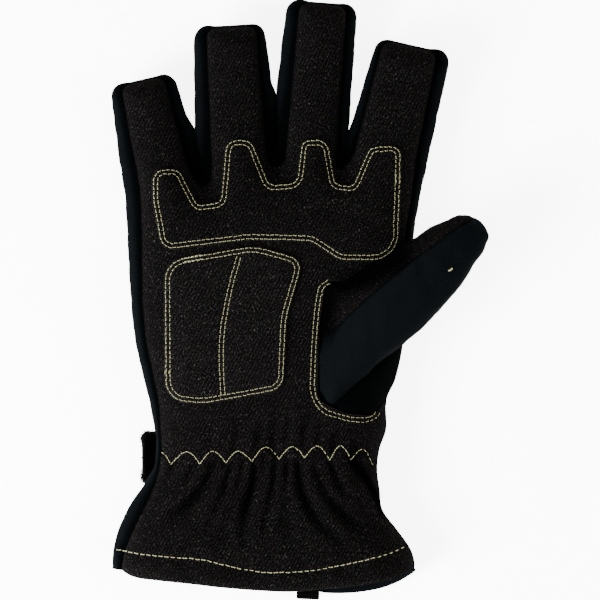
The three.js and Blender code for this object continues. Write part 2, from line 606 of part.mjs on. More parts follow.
// The wrist strap lies flat on the ground and turns up at its free end, whose corners are round
function wristStrap() {
  const s = strapSize;
  const low = [];
  for (let k = strapEnd.steps; k >= 0; k--) {
    const along = k / strapEnd.steps;
    low.push([s.endX + strapEnd.length * along, strapEnd.lift * Math.pow(1 - along, 1.6)]);
  }
  low.unshift([s.startX, 0]);
  const high = low.map(([x, z]) => [x, z + s.thickness]).reverse();
  const band = extrusion([...low, ...high].map((p) => new THREE.Vector2(...p)), s.width);
  band.rotateX(Math.PI / 2);
  band.translate(0, s.middleY + s.width / 2, 0);
  const from = s.middleY - s.width / 2;
  const to = s.middleY + s.width / 2;
  const freeEnd = [{ x: s.endX, y: to, r: s.corner }, { x: s.endX, y: from, r: s.corner }];
  const sewnEnd = [{ x: s.startX, y: from, r: 1 }, { x: s.startX, y: to, r: 1 }];
  return solidOf(band).intersect(prism(roundedOutline([...freeEnd, ...sewnEnd], 0), -1, 20));
}

// The pull tab: a webbing ribbon folded back on itself, sewn inside the hem of the back
function pullTab() {
  const { width, length, ribbon, slot, skew } = tabSize;
  const radius = ribbon + slot / 2;
  const foldX = radius - length;
  const side = new THREE.Shape();
  side.moveTo(0, 2 * radius);
  side.lineTo(foldX, 2 * radius);
  side.absarc(foldX, radius, radius, Math.PI / 2, (3 * Math.PI) / 2, false);
  side.lineTo(0, 0);
  side.lineTo(0, ribbon);
  side.lineTo(foldX, ribbon);
  side.absarc(foldX, radius, slot / 2, (3 * Math.PI) / 2, Math.PI / 2, true);
  side.lineTo(0, ribbon + slot);
  const tab = new THREE.ExtrudeGeometry(side, { depth: width, bevelEnabled: false, curveSegments: 5 });
  tab.translate(0, 0, -width / 2);
  // The side view's plane becomes Y and Z, and the skew slants the folded end
  tab.applyMatrix4(new THREE.Matrix4().set(0, 0, 1, 0, 1, 0, skew, 0, 0, 1, 0, 0, 0, 0, 0, 1));
  return solidOf(tab.translate(tabPlace.x, tabPlace.endY + length, tabPlace.z));
}

const palmSheet = solidOf(thicken(palmGrid.quads, palmPoints.outer, palmPoints.inner));
const backQuads = backGrid.quads.map((q) => [...q].reverse());
const backSheet = solidOf(thicken(backQuads, backPoints.outer, backPoints.inner));
const thumbRoom = thumbSolid(cutGap, cutGap);
const thumbShell = thumbSolid(0, 0).subtract(thumbSolid(-wall, 2 * wall)).subtract(handHollow());
const hole = prism(roundedOutline(THUMB_HOLE, 0), 0, 60);
const insideHole = prism(roundedOutline(THUMB_HOLE, -cutGap), 0, 60);
const palmFabric = largest(palmSheet.subtract(hole).subtract(thumbRoom));

const outline = palmGrid.outline;
const tips = palmGrid.tips;
const stripEnd = outline.findIndex((p, i) => i > tips[3] && p.y < sideStripEndY);

// Places a solid as a named mesh of the glove
const glove = new THREE.Group();
function addPiece(name, solid, fabric) {
  const material = new THREE.MeshStandardMaterial({ ...fabric, metalness: 0 });
  const mesh = new THREE.Mesh(geometryFrom(solid), material);
  mesh.name = name;
  glove.add(mesh);
}

addPiece("palm_panel", palmFabric.trimByPlane([0, 1, 0], cuffLineY + cutGap / 2), textured);
addPiece("cuff_panel", palmFabric.trimByPlane([0, -1, 0], cutGap / 2 - cuffLineY), textured);
addPiece("back_panel", largest(backSheet.subtract(thumbRoom)), navy);
addPiece("side_panel_little", sideStrip(outline, 0, tips[0]), navy);
addPiece("fourchette_little_ring", sideStrip(outline, tips[0], tips[1]), navy);
addPiece("fourchette_ring_middle", sideStrip(outline, tips[1], tips[2]), navy);
addPiece("fourchette_middle_index", sideStrip(outline, tips[2], tips[3]), navy);
addPiece("side_panel_index", largest(sideStrip(outline, tips[3], stripEnd).subtract(thumbRoom)), navy);
addPiece("thumb_front", largest(thumbShell.intersect(besideThumbSeam(1))), textured);
addPiece("thumb_back", largest(thumbShell.intersect(besideThumbSeam(-1))), navy);
addPiece("thumb_gusset", largest(palmSheet.intersect(insideHole).subtract(thumbRoom)), navy);
addPiece("knuckle_pad", largest(pad(KNUCKLE_PAD).subtract(thumbRoom)), textured);
addPiece("heel_pad", pad(HEEL_PAD), textured);
addPiece("wrist_strap", wristStrap(), webbing);
addPiece("pull_tab", pullTab(), webbing);

// The origin is under the middle of the glove's box
const box = new THREE.Box3().setFromObject(glove);
const centre = box.getCenter(new THREE.Vector3());
for (const mesh of glove.children) mesh.geometry.translate(-centre.x, -centre.y, -box.min.z);

export default glove;
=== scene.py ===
import bpy
import numpy as np
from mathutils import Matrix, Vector


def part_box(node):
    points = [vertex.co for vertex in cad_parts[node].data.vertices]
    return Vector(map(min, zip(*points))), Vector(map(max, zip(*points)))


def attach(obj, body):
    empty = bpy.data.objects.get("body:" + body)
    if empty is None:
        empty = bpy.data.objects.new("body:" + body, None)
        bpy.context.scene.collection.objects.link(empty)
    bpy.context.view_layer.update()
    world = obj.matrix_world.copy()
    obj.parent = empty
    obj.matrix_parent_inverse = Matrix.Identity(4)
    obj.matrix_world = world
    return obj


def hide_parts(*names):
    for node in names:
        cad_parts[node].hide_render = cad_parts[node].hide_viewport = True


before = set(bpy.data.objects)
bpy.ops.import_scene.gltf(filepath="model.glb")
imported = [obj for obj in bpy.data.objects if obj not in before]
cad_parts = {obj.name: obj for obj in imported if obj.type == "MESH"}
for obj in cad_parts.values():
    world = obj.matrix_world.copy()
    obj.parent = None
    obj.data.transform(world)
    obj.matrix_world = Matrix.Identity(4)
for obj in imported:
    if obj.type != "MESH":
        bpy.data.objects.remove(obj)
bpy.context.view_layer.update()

# The studio
# A plain pale table under broad soft lamps, seen by a camera that hangs straight above the glove, as far
# away as a long lens needs, so that the glove fills the picture's height.
MM = 0.001
PICTURE_SPAN = 276.0  # what the picture's height covers, in millimetres
PICTURE_MIDDLE = (0.23, -1.38)  # on the drawing of the glove, whose zero point lies in the palm
LENS, SENSOR, FOCUS_HEIGHT = 240.0, 36.0, 18.0

STRAP_CORNER = (24.0, -62.3)  # on the drawing: the strap's sewn end and its upper edge

strap_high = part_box("wrist_strap")[1]
# The drawing's zero point in the frame, from the strap's place in both
ORIGIN = np.array([strap_high.x / MM - STRAP_CORNER[0], strap_high.y / MM - STRAP_CORNER[1], 0.0])

camera = bpy.data.objects.new("camera", bpy.data.cameras.new("camera"))
camera.data.lens, camera.data.sensor_width = LENS, SENSOR
camera.location = (
    (PICTURE_MIDDLE[0] + ORIGIN[0]) * MM,
    (PICTURE_MIDDLE[1] + ORIGIN[1]) * MM,
    (FOCUS_HEIGHT + PICTURE_SPAN * LENS / SENSOR) * MM,
)
camera.data.clip_start, camera.data.clip_end = 0.05, 20.0
bpy.context.scene.collection.objects.link(camera)
bpy.context.scene.camera = camera


def lamp(name, place, size, watts, colour):
    """A square soft lamp at a place in metres, which shines at the middle of the glove."""
    made = bpy.data.objects.new(name, bpy.data.lights.new(name, "AREA"))
    made.data.size, made.data.energy, made.data.color = size, watts, colour
    made.location = place
    made.rotation_euler = (Vector((0, 0, 0.02)) - Vector(place)).to_track_quat("-Z", "Y").to_euler()
    bpy.context.scene.collection.objects.link(made)


lamp("lamp_left", (-0.80, -0.45, 0.62), 0.5, 90, (0.94, 0.96, 1.0))
lamp("lamp_right", (0.85, -0.1, 0.85), 0.7, 24, (1.0, 0.97, 0.94))
lamp("lamp_above", (-0.1, 1.0, 0.9), 0.8, 6, (1.0, 0.93, 0.86))
world = bpy.data.worlds.new("studio_air")
world.use_nodes = True
world.node_tree.nodes["Background"].inputs["Color"].default_value = (1, 1, 1, 1)
world.node_tree.nodes["Background"].inputs["Strength"].default_value = 1.2
bpy.context.scene.world = world


# The palm fabric
# One piece of thick woven cloth, brown and black yarn twisted together, from the hem to the four finger
# tips. It is cut out round the thumb, its edges are turned in along the seams, and an elastic gathers it.
WALL = 2.4  # shell cloth with its padded lining
INSET = WALL + 0.2  # how far inside the outer cloth the lining lies
ROLL_IN, ROLL_ASIDE, ROLL_WIDTH = 0.7, 0.3, 0.9  # how far a seam draws an edge down and in, how wide
CORNER = 5.0  # radius of the cloth's corners at a finger tip
# At a finger tip: the length that is rounded, half the strip's height and its bulge
TIP_ROUNDING, TIP_SEAM_HALF, TIP_BULGE = 10.0, 3.1, 0.5
FINGER_TOP = dict(seam_top=17.0, seam_bottom=5.0, top=22.0, roll=4.5)
SIDE_SEAM = 13.0  # height of the seam below the thumb, where palm and back meet
# The hem: how much thicker its fold is and how wide, and the radius of its edge on palm and back
HEM = dict(fold=0.7, depth=8.5, palm_edge=1.5, back_edge=1.2)
TURNED_IN = 10.0  # how wide the outer cloth shows inside the hem
FAR = 99.0  # stands for a finger's distance from the hem
NEEDLE_PITCH, HEM_PITCH = 2.1, 2.8  # from stitch to stitch in the double rows and in the hem's row
# The hem's edge: x, the palm's y, the back's y, which hangs lower towards the thumb
HEM_EDGE = np.array([
    [-90, -120.5, -120.5], [-83, -124.9, -124.9], [-76, -128.3, -128.3], [-66, -129.7, -129.7],
    [-52, -131.1, -131.1], [-36, -132.9, -132.9], [-19, -134.3, -134.3], [-6, -134.8, -134.8],
    [4, -134.2, -135.4], [10, -133.6, -137.2], [22, -132.6, -137.4], [33, -131.1, -135.9],
    [40, -129.7, -133.9], [46, -127.8, -131.2], [51, -125.6, -128.2], [56, -122.5, -124.8],
])
# Fingers from the little one on: root middle x and y, lean, length, curl, half widths at root and tip
FINGERS = np.array([
    [-64.2, 63.0, -12.6, 37.8, 2.5, 11.9, 10.7],
    [-27.8, 63.0, -3.4, 61.8, 4.5, 13.1, 12.0],
    [5.1, 63.9, 4.7, 71.4, 5.5, 12.0, 11.4],
    [39.6, 65.3, 12.9, 51.8, 4.0, 14.5, 13.2],
])
# How far the side strips bulge: left root, left tip, right root, right tip
BULGES = np.array([[7.1, 4.6, 6.0, 4.0], [7.4, 5.4, 6.6, 3.2], [7.8, 5.4, 4.8, 4.4], [4.6, 2.6, 5.2, 6.0]])
CROTCH_DEPTHS = [12.6, 3.8, 5.4]  # how far the seam dips between each two fingers
# Side seams up the hand: y, left x, right x, bulge of the left and of the right strip
SIDES = np.array([
    [-135, -82.5, 55.9, 4.2, 0], [-124, -81.8, 53.8, 4.4, 0], [-116, -80.3, 51.5, 5.4, 0],
    [-107, -76.4, 45.2, 6.6, 0], [-98, -72.2, 38.6, 6.2, 0], [-89, -68.0, 37.3, 4.8, 0],
    [-79, -64.9, 36.2, 2.4, 0], [-70, -64.0, 37.3, 2.0, 0], [-61, -64.2, 40.3, 2.4, 0],
    [-47, -65.3, 40.4, 4.2, 0], [-38, -67.2, 44.3, 4.4, 0], [-20, -70.8, 48.0, 4.8, 0],
    [0, -72.5, 48.4, 5.4, 1.8], [26, -72.9, 49.0, 6.4, 3.4], [45, -73.6, 51.7, 6.9, 3.6],
    [61, -75.6, 53.9, 7.0, 4.9],
])
# Heights up the hand: y, upper seam, lower seam, middle of the palm, how fast it rises, room under the back
HEIGHTS = np.array([
    [-136, 19.0, 8.5, 30, 10, 0], [-104, 21.0, 8.5, 31, 9.5, 0], [-88, 21.0, 9.0, 31, 9, 3.0],
    [-75, 21.0, 9.5, 31, 9, 3.3], [-60, 21.5, 9.0, 31.5, 9, 3.1], [-46, 22.0, 8.0, 32, 9.5, 0],
    [0, 22.0, 7.0, 32, 10, 0], [40, 19.5, 6.0, 28.5, 7.5, 0], [63, 17.0, 5.0, 23.5, 4.8, 0],
])
# Folds that the elastic draws, from the zigzag outwards: points of each valley's bottom, depth, half width
FOLDS = [
    ([(-38.5, -74), (-42.8, -85.5), (-49.3, -93.4), (-57.9, -98.4), (-64, -101)], 2.7, 2.0),
    ([(-30.7, -75.5), (-33.8, -86), (-38, -97), (-43.5, -109)], 2.2, 1.8),
    ([(-19.9, -75), (-21.4, -87), (-24.2, -95.5), (-26.3, -109), (-23.5, -117)], 3.3, 1.9),
    ([(-10.6, -73.5), (-12.1, -87), (-15.6, -103), (-17, -116)], 2.0, 1.7),
    ([(-0.6, -73.5), (0.1, -85.5), (3, -94.1), (9.1, -104), (17.3, -110.5), (21.4, -117)], 2.9, 2.1),
    ([(6.5, -76), (10.8, -88), (19, -99), (29, -108)], 1.7, 2.0),
    ([(13.7, -75), (18, -85.5), (21.6, -92)], 2.2, 1.6),
    ([(-48, -76.5), (-52, -84), (-59, -92)], 1.5, 1.6),
    ([(-56, -74), (-60, -82), (-66, -88)], 1.1, 1.6),
    ([(-5.5, -74), (-5.8, -82), (-6.5, -91)], 1.8, 1.3),
    ([(-25.5, -74), (-27.5, -84), (-29, -91)], 1.6, 1.3),
    ([(-15.5, -71), (-17, -80), (-18.5, -86)], 1.3, 1.2),
    ([(22, -73), (25, -80), (28, -85)], 1.5, 1.4),
    ([(-20, -69), (-18.4, -63), (-15.5, -55)], 1.7, 1.7),
    ([(-12.5, -71), (-11.4, -62), (-9, -51)], 1.9, 1.9),
    ([(-6.5, -67), (-5.4, -61), (-3.4, -54)], 1.4, 1.6),
    ([(1, -70), (2.6, -62), (5.4, -51)], 1.8, 1.9),
    ([(8.5, -67), (9.4, -62), (11, -56)], 1.3, 1.5),
    ([(15, -71), (16.4, -65), (18.8, -59)], 1.5, 1.7),
    ([(-30, -70), (-28.6, -63), (-25.6, -54)], 1.3, 1.9),
    ([(-40.5, -69), (-40.2, -64), (-39.6, -59)], 1.1, 1.5),
    ([(26, -72), (25.5, -67), (24.6, -62)], 1.2, 1.4),
    ([(-46, -88), (-54, -100), (-62, -108), (-70, -113)], 1.3, 3.0),
    ([(-5, -90), (-6, -102), (-4, -118)], 1.1, 3.2), ([(-31, -94), (-35, -106), (-37, -118)], 1.0, 3.2),
    ([(14, -92), (24, -104), (36, -113)], 1.2, 3.0), ([(-58, -84), (-66, -96), (-74, -108)], 1.0, 2.8),
]
SIDE_FOLD = np.array([[24.5, -75.5], [29.0, -82.0], [33.5, -90.0], [37.0, -98.5]])
# The edge of the palm fabric round the thumb: x, y and radius of its corners
THUMB_HOLE = np.array([
    [12.0, 7.4, 4], [8.7, -15.2, 30], [8.1, -46.9, 6], [20.7, -53.1, 9], [34.0, -54.7, 4], [40.9, -46.5, 1],
    [60, -46.5, 1], [60, 23, 1], [48.3, 20.0, 1], [38.6, 15.2, 9], [28.5, 10.2, 9], [20.7, 7.0, 6],
])
# Stitch lines: the middle of the double row round the thumb, and the turning points of the zigzag
THUMB_ROWS = np.array([
    [13.8, 7.1], [11.5, 5.9], [9.7, 4.1], [8.7, -0.5], [7.8, -6.9], [6.9, -17.5], [6.2, -29.4], [5.8, -41.4],
    [6.9, -46.5], [9.2, -50.1], [12.4, -52.9], [17.9, -54.4], [22.5, -55.8], [28.5, -56.4], [32.7, -55.9],
    [35.4, -54.3], [35.9, -52.9],
])
ZIGZAG = np.array([
    [-63.5, -71.3], [-58.9, -76.8], [-51.5, -70.8], [-45.5, -76.4], [-39.6, -70.4], [-33.6, -75.9],
    [-28.1, -70.4], [-21.6, -75.2], [-15.6, -68.5], [-9.2, -74.1], [-3.2, -68.3], [2.3, -73.6], [8.3, -67.9],
    [13.8, -74.8], [18.9, -67.9], [23.5, -74.8], [29.0, -69.7], [33.6, -77.3],
])
HEM_ROW = np.array([
    [-84.2, -115.9], [-73.6, -117.8], [-57.5, -119.1], [-43.7, -120.1], [-40, -121], [-27.6, -124.2],
    [-16.1, -126], [-4.6, -126], [9.2, -124.7], [27.6, -121], [41.4, -117.8], [48.3, -115],
])
ROW_OFFSET = 0.92  # half the distance between the two rows of a double stitch


def mix(a, b, t):
    """a where t is 0, b where it is 1."""
    return a + (b - a) * t


def bell(v, width):
    """1 at 0, and falling off on both sides as the exponential of minus a square."""
    return np.exp(-(v / width) ** 2)


def squarish(v, power):
    """A sine or cosine with its size raised to a power and its sign kept, which makes a circle squarer."""
    return np.sign(v) * np.abs(v) ** power


def smooth(low, high, v):
    """0 below low, 1 above high, and an even S between them."""
    t = np.clip((v - low) / (high - low), 0, 1)
    return t * t * (3 - 2 * t)


def along(table, column, at):
    """A table's column at the places `at` of its first column: a cubic between each two rows whose end
    slopes are those across the rows' neighbours."""
    places, values = table[:, 0], table[:, column]
    at = np.clip(at, places[0], places[-1])
    i = np.clip(np.searchsorted(places, at) - 1, 0, len(places) - 2)
    row = np.arange(len(places))
    before, after = np.maximum(row - 1, 0), np.minimum(row + 1, len(places) - 1)
    slope = (values[after] - values[before]) / (places[after] - places[before])
    h = places[i + 1] - places[i]
    t = (at - places[i]) / h
    u = 1 - t
    return (values[i] * u * u * (1 + 2 * t) + values[i + 1] * t * t * (3 - 2 * t)
            + slope[i] * h * t * u * u - slope[i + 1] * h * t * t * u)


def ripple(x, y, size, seed, waves=14):
    """Random relief between about -1 and 1: the sum of waves of nearly one length in random directions."""
    draw = np.random.default_rng(seed)
    total = 0.0
    for angle, phase, stretch in draw.uniform((0, 0, 0.7), (np.pi, 2 * np.pi, 1.4), (waves, 3)):
        onward = x * np.cos(angle) + y * np.sin(angle)
        total = total + np.sin(onward * 2 * np.pi / (size * stretch) + phase)
    return total / np.sqrt(waves)


def hem_y(x, back):
    """The hem's edge at places x, of the back or of the palm."""
    return along(HEM_EDGE, 2 if back else 1, x)


def ring_to_arc(over_side, over_end):
    """Bends the square rings round a corner's centre into arcs: how far from the centre a place then lies,
    towards the side and towards the end."""
    reach = np.maximum(np.maximum(over_side, over_end), 1e-9)
    slant = np.pi / 4 * np.minimum(over_side, over_end) / reach
    turn = np.where(over_side >= over_end, slant, np.pi / 2 - slant)
    return reach * np.cos(turn), reach * np.sin(turn)


def finger_point(k, u, v):
    """Finger k from above: u from -1 to 1 across, v from 0 to 1 up, with the tip's corners made round by
    bending the square rings of each corner into arcs."""
    base_x, base_y, lean, length, _, root, tip = FINGERS[k]
    u, v = np.broadcast_arrays(np.asarray(u, float), np.asarray(v, float))
    half = mix(root, tip, v)
    across, up = u * half, v * length
    over_side, over_end = np.abs(across) - (half - CORNER), up - (length - CORNER)
    aside, onward = ring_to_arc(over_side, over_end)
    corner = (over_side > 0) & (over_end > 0)
    across = np.where(corner, np.sign(u) * (half - CORNER + aside), across)
    up = np.where(corner, length - CORNER + onward, up)
    a = np.radians(lean)
    return base_x + across * np.cos(a) + up * np.sin(a), base_y - across * np.sin(a) + up * np.cos(a)


def crotch_point(k, t):
    """The seam loop in crotch k: a cubic curve whose handles point down along the two fingers."""
    ends = []
    for finger, u in ((k, 1), (k + 1, -1)):
        x, y = finger_point(finger, u, 0.0)
        a, reach = np.radians(FINGERS[finger, 2]), CROTCH_DEPTHS[k] / 0.75
        ends.append((np.array([x, y]), np.array([x - np.sin(a) * reach, y - np.cos(a) * reach])))
    (p, p_down), (q, q_down) = ends
    t = np.asarray(t)[:, None]
    curve = p * (1 - t) ** 3 + 3 * p_down * t * (1 - t) ** 2 + 3 * q_down * t * t * (1 - t) + q * t ** 3
    return curve[:, 0], curve[:, 1]


def levels(x, y):
    """Heights of the seams and of the middle of the hand at places, the lift of a finger's curl, and how
    much of a side strip there is between palm and back."""
    seam_top, seam_bottom, top, roll, room = (along(HEIGHTS, c, y) for c in range(1, 6))
    joined = (1 - smooth(-12, 16, y)) * smooth(-2, 22, x)
    seam_top = mix(seam_top, SIDE_SEAM + 0.05, joined)
    seam_bottom = mix(seam_bottom, SIDE_SEAM - 0.05, joined)
    a = np.radians(FINGERS[:, 2])
    dx, dy = x[..., None] - FINGERS[:, 0], y[..., None] - FINGERS[:, 1]
    across, up = dx * np.cos(a) - dy * np.sin(a), dx * np.sin(a) + dy * np.cos(a)
    k = np.argmin(np.abs(across) - FINGERS[:, 5], axis=-1)
    up = np.take_along_axis(up, k[..., None], -1)[..., 0]
    length, curl = FINGERS[k, 3], FINGERS[k, 4]
    v = np.clip(up / length, 0, 1)
    out = smooth(0, 0.45, v)
    closed = 1 - smooth(0, TIP_ROUNDING, (1 - v) * length)
    middle = (FINGER_TOP["seam_top"] + FINGER_TOP["seam_bottom"]) / 2
    seam_top = mix(mix(seam_top, FINGER_TOP["seam_top"], out), middle + TIP_SEAM_HALF, closed)
    seam_bottom = mix(mix(seam_bottom, FINGER_TOP["seam_bottom"], out), middle - TIP_SEAM_HALF, closed)
    return dict(
        seam_top=seam_top, seam_bottom=seam_bottom, strip=1 - joined, lift=curl * v * v, v=v,
        top=mix(top, FINGER_TOP["top"], out) - 2 * closed, roll=mix(roll, FINGER_TOP["roll"], out),
        room=np.maximum(room, 0),
    )


def lengths(line):
    """How far along a line each of its points is."""
    return np.r_[0, np.cumsum(np.hypot(*np.diff(line, axis=0).T))]


def placed(at, gone, values):
    """The two columns of values that a line has at its points, at other lengths along it."""
    return np.stack([np.interp(at, gone, values[:, i]) for i in (0, 1)], -1)


def unit(v):
    """Directions made one long."""
    return v / np.maximum(np.linalg.norm(v, axis=-1, keepdims=True), 1e-9)


def resample(points, step, closed=False):
    """A polyline's points at even steps along it, and their distances from its start."""
    if closed:
        points = np.vstack([points, points[:1]])
    gone = lengths(points)
    at = np.linspace(0, gone[-1], max(2, int(round(gone[-1] / step)) + 1))
    return placed(at, gone, points), at


def rounded(corners, step=0.5):
    """A closed outline whose corners are arcs of their own radii, at even steps."""
    points = []
    count = len(corners)
    for i in range(count):
        here = corners[i, :2]
        before, after = corners[i - 1, :2] - here, corners[(i + 1) % count, :2] - here
        room = 0.48 * min(np.hypot(*before), np.hypot(*after))
        before, after = before / np.hypot(*before), after / np.hypot(*after)
        half = np.arccos(np.clip(before @ after, -1, 1)) / 2
        reach = min(corners[i, 2] / np.tan(half), room)
        radius = reach * np.tan(half)
        centre = here + (before + after) / np.hypot(*(before + after)) * radius / np.sin(half)
        start, end = here + before * reach - centre, here + after * reach - centre
        begin = np.arctan2(start[1], start[0])
        turn = (np.arctan2(end[1], end[0]) - begin + np.pi) % (2 * np.pi) - np.pi
        angles = begin + turn * np.linspace(0, 1, 12)
        points.append(centre + radius * np.column_stack([np.cos(angles), np.sin(angles)]))
    return resample(np.vstack(points), step, closed=True)[0]


def softened(points, passes, closed=False):
    """A polyline with its corners evened out: each point moves to the mean of itself and its neighbours."""
    for _ in range(passes):
        if closed:
            inner = (np.roll(points[:-1], 1, 0) + 2 * points[:-1] + np.roll(points[:-1], -1, 0)) / 4
            points = np.vstack([inner, inner[:1]])
        else:
            points = np.vstack([points[:1], (points[:-2] + 2 * points[1:-1] + points[2:]) / 4, points[-1:]])
    return points


def sideways(line, closed=False):
    """Unit directions to the left of a line at its points."""
    if closed:
        onward = np.roll(line[:-1], -1, 0) - np.roll(line[:-1], 1, 0)
        onward = np.vstack([onward, onward[:1]])
    else:
        onward = np.gradient(line, axis=0)
    onward = onward / np.hypot(onward[:, 0], onward[:, 1])[:, None]
    return np.column_stack([-onward[:, 1], onward[:, 0]])


def near(x, y, line, left):
    """For places, the nearest point of a line: its distance, positive on the line's left; the direction to
    the left there; and the way gone along the line."""
    shape = np.shape(x)
    x, y = np.ravel(x), np.ravel(y)
    a, step = line[:-1], np.diff(line, axis=0)
    long2 = np.maximum((step ** 2).sum(1), 1e-12)
    gone = np.r_[0, np.cumsum(np.sqrt(long2))]
    found = np.empty((4, x.size))
    for part in np.array_split(np.arange(x.size), x.size * len(a) // 4_000_000 + 1):
        dx, dy = x[part, None] - a[:, 0], y[part, None] - a[:, 1]
        t = np.clip((dx * step[:, 0] + dy * step[:, 1]) / long2, 0, 1)
        apart = (dx - t * step[:, 0]) ** 2 + (dy - t * step[:, 1]) ** 2
        i = np.argmin(apart, axis=1)
        rows = np.arange(len(part))
        t = t[rows, i]
        n = left[i] + (left[i + 1] - left[i]) * t[:, None]
        side = (dx[rows, i] - t * step[i, 0]) * n[:, 0] + (dy[rows, i] - t * step[i, 1]) * n[:, 1]
        distance = np.sqrt(apart[rows, i]) * np.where(side < 0, -1, 1)
        found[:, part] = distance, n[:, 0], n[:, 1], gone[i] + t * np.sqrt(long2[i])
    return [f.reshape(shape) for f in found]


def from_line(x, y, line):
    """Distance from an open line, positive on its left, and the way gone along it."""
    away, _, _, gone = near(x, y, line, sideways(line))
    return away, gone


def hand_outline():
    """The side seams as one line, from the hem's left end round the fingers to its right end, with the
    strips' bulge at each point, and the places of the four tips in it."""
    left_y = np.linspace(hem_y(SIDES[1, 1], False), finger_point(0, -1, 0)[1], 170)
    pieces = [np.column_stack([along(SIDES, 1, left_y), left_y, along(SIDES, 3, left_y)])]
    tips = []
    for k, (_, _, _, length, _, _, tip_half) in enumerate(FINGERS):
        corner, corner_u = CORNER / length, CORNER / tip_half
        shaft = np.linspace(0, 1 - corner, int(length / 1.2))
        v = np.r_[shaft, 1 - corner * np.linspace(1, 0, 8)[1:]]
        u = np.r_[1 - corner_u * np.linspace(0, 1, 8)[1:], np.linspace(1 - corner_u, 0, 8)[1:]]
        for side in (-1, 1):
            uu, vv = np.r_[np.ones(len(v)), u] * side, np.r_[v, np.ones(len(u))]
            x, y = finger_point(k, uu, vv)
            half = mix(FINGERS[k, 5], FINGERS[k, 6], vv)
            from_tip = (1 - vv) * length + np.maximum(0, np.abs(uu) * half - half + CORNER)
            columns = (0, 1) if side < 0 else (2, 3)
            full = mix(BULGES[k, columns[0]], BULGES[k, columns[1]], vv)
            made = np.column_stack([x, y, mix(TIP_BULGE, full, smooth(0, 9, from_tip))])
            pieces.append(made if side < 0 else made[::-1][1:])
            if side < 0:
                tips.append(sum(map(len, pieces)) - 1)
        if k < 3:
            t = np.linspace(0, 1, 26)[1:-1]
            x, y = crotch_point(k, t)
            pieces.append(np.column_stack([x, y, mix(BULGES[k, 2], BULGES[k + 1, 0], t)]))
    right_y = np.linspace(finger_point(3, 1, 0)[1], hem_y(SIDES[1, 2], False), 170)[1:]
    pieces.append(np.column_stack([along(SIDES, 2, right_y), right_y, along(SIDES, 4, right_y)]))
    pieces[0] = pieces[0][:-1]
    return np.vstack(pieces), np.array(tips) - 1


OUTLINE, TIPS = hand_outline()
OUTWARD = sideways(OUTLINE[:, :2])


def to_seam(x, y):
    """Distance inside the side seams, negative outside, and the inward direction of the nearest seam."""
    away, nx, ny, _ = near(x, y, OUTLINE[:, :2], OUTWARD)
    return -away, -nx, -ny


HOLE = rounded(THUMB_HOLE)
HOLE_LEFT = sideways(HOLE, closed=True)


def in_hole(x, y):
    """Distance inside the palm's thumb hole, negative outside it. The outline runs clockwise or not, so
    the sign is settled at a place that is surely inside."""
    sign = np.sign(near(np.array([30.0]), np.array([-20.0]), HOLE, HOLE_LEFT)[0][0])
    return near(x, y, HOLE, HOLE_LEFT)[0] * sign


thumb_line = softened(resample(THUMB_ROWS, 0.5)[0], 6)
zig_t = np.linspace(0, 1, 9)[:-1]
zig_parts = []
for a, b in zip(ZIGZAG[:-1], ZIGZAG[1:]):
    curved = np.sin(zig_t * np.pi / 2) if a[1] < b[1] else 1 - np.sin((1 - zig_t) * np.pi / 2)
    zig_parts.append(np.column_stack([mix(a[0], b[0], zig_t), mix(a[1], b[1], mix(zig_t, curved, 0.8))]))
zigzag_line = np.vstack([*zig_parts, ZIGZAG[-1:]])
hem_line = softened(resample(HEM_ROW, 1.0)[0], 12)


def fold_depth(x, y):
    """How deep the gathers press in: each is a valley of bell-shaped section along its own curve, which
    widens on its way and begins and ends gently."""
    depth = np.zeros(np.shape(x))
    close = (y > -125) & (y < -45)
    for line, deep, half in FOLDS:
        curve = softened(resample(np.array(line, float), 0.8)[0], 20)
        away, gone = from_line(x[close], y[close], curve)
        t = np.clip(gone / lengths(curve)[-1], 0, 1)
        depth[close] += deep * bell(away, half * (0.8 + 0.6 * t)) * np.sin(np.pi * t ** 0.55) ** 0.7
    return depth


def rows_pressed(away, gone, deep):
    """How deep a double stitch row presses the cloth: two narrow channels, deeper where the needle went."""
    from_row = np.abs(np.abs(away) - ROW_OFFSET)
    needle = 0.72 + 0.28 * np.cos(2 * np.pi * gone / NEEDLE_PITCH)
    return deep * bell(from_row, 0.55) * needle + 0.35 * deep * bell(away, 2.4)


def palm_form(x, y, inside, inner=0.0):
    """The palm's surface: it rises from the seam towards the middle as an exponential, less the gathers,
    plus the folded hem."""
    l = levels(x, y)
    seam, top = l["seam_top"] - inner * WALL * l["strip"], l["top"] - inner * WALL
    over_hem = smooth(HEM["depth"] - 0.6, HEM["depth"] + 0.6, y - hem_y(x, False))
    fold = 0 if inner else HEM["fold"] * (1 - over_hem) * (l["v"] <= 0)
    rise = (top - seam) * np.exp(-np.maximum(inside, 0) / l["roll"])
    return l["lift"] + top - rise - fold_depth(x, y) + fold


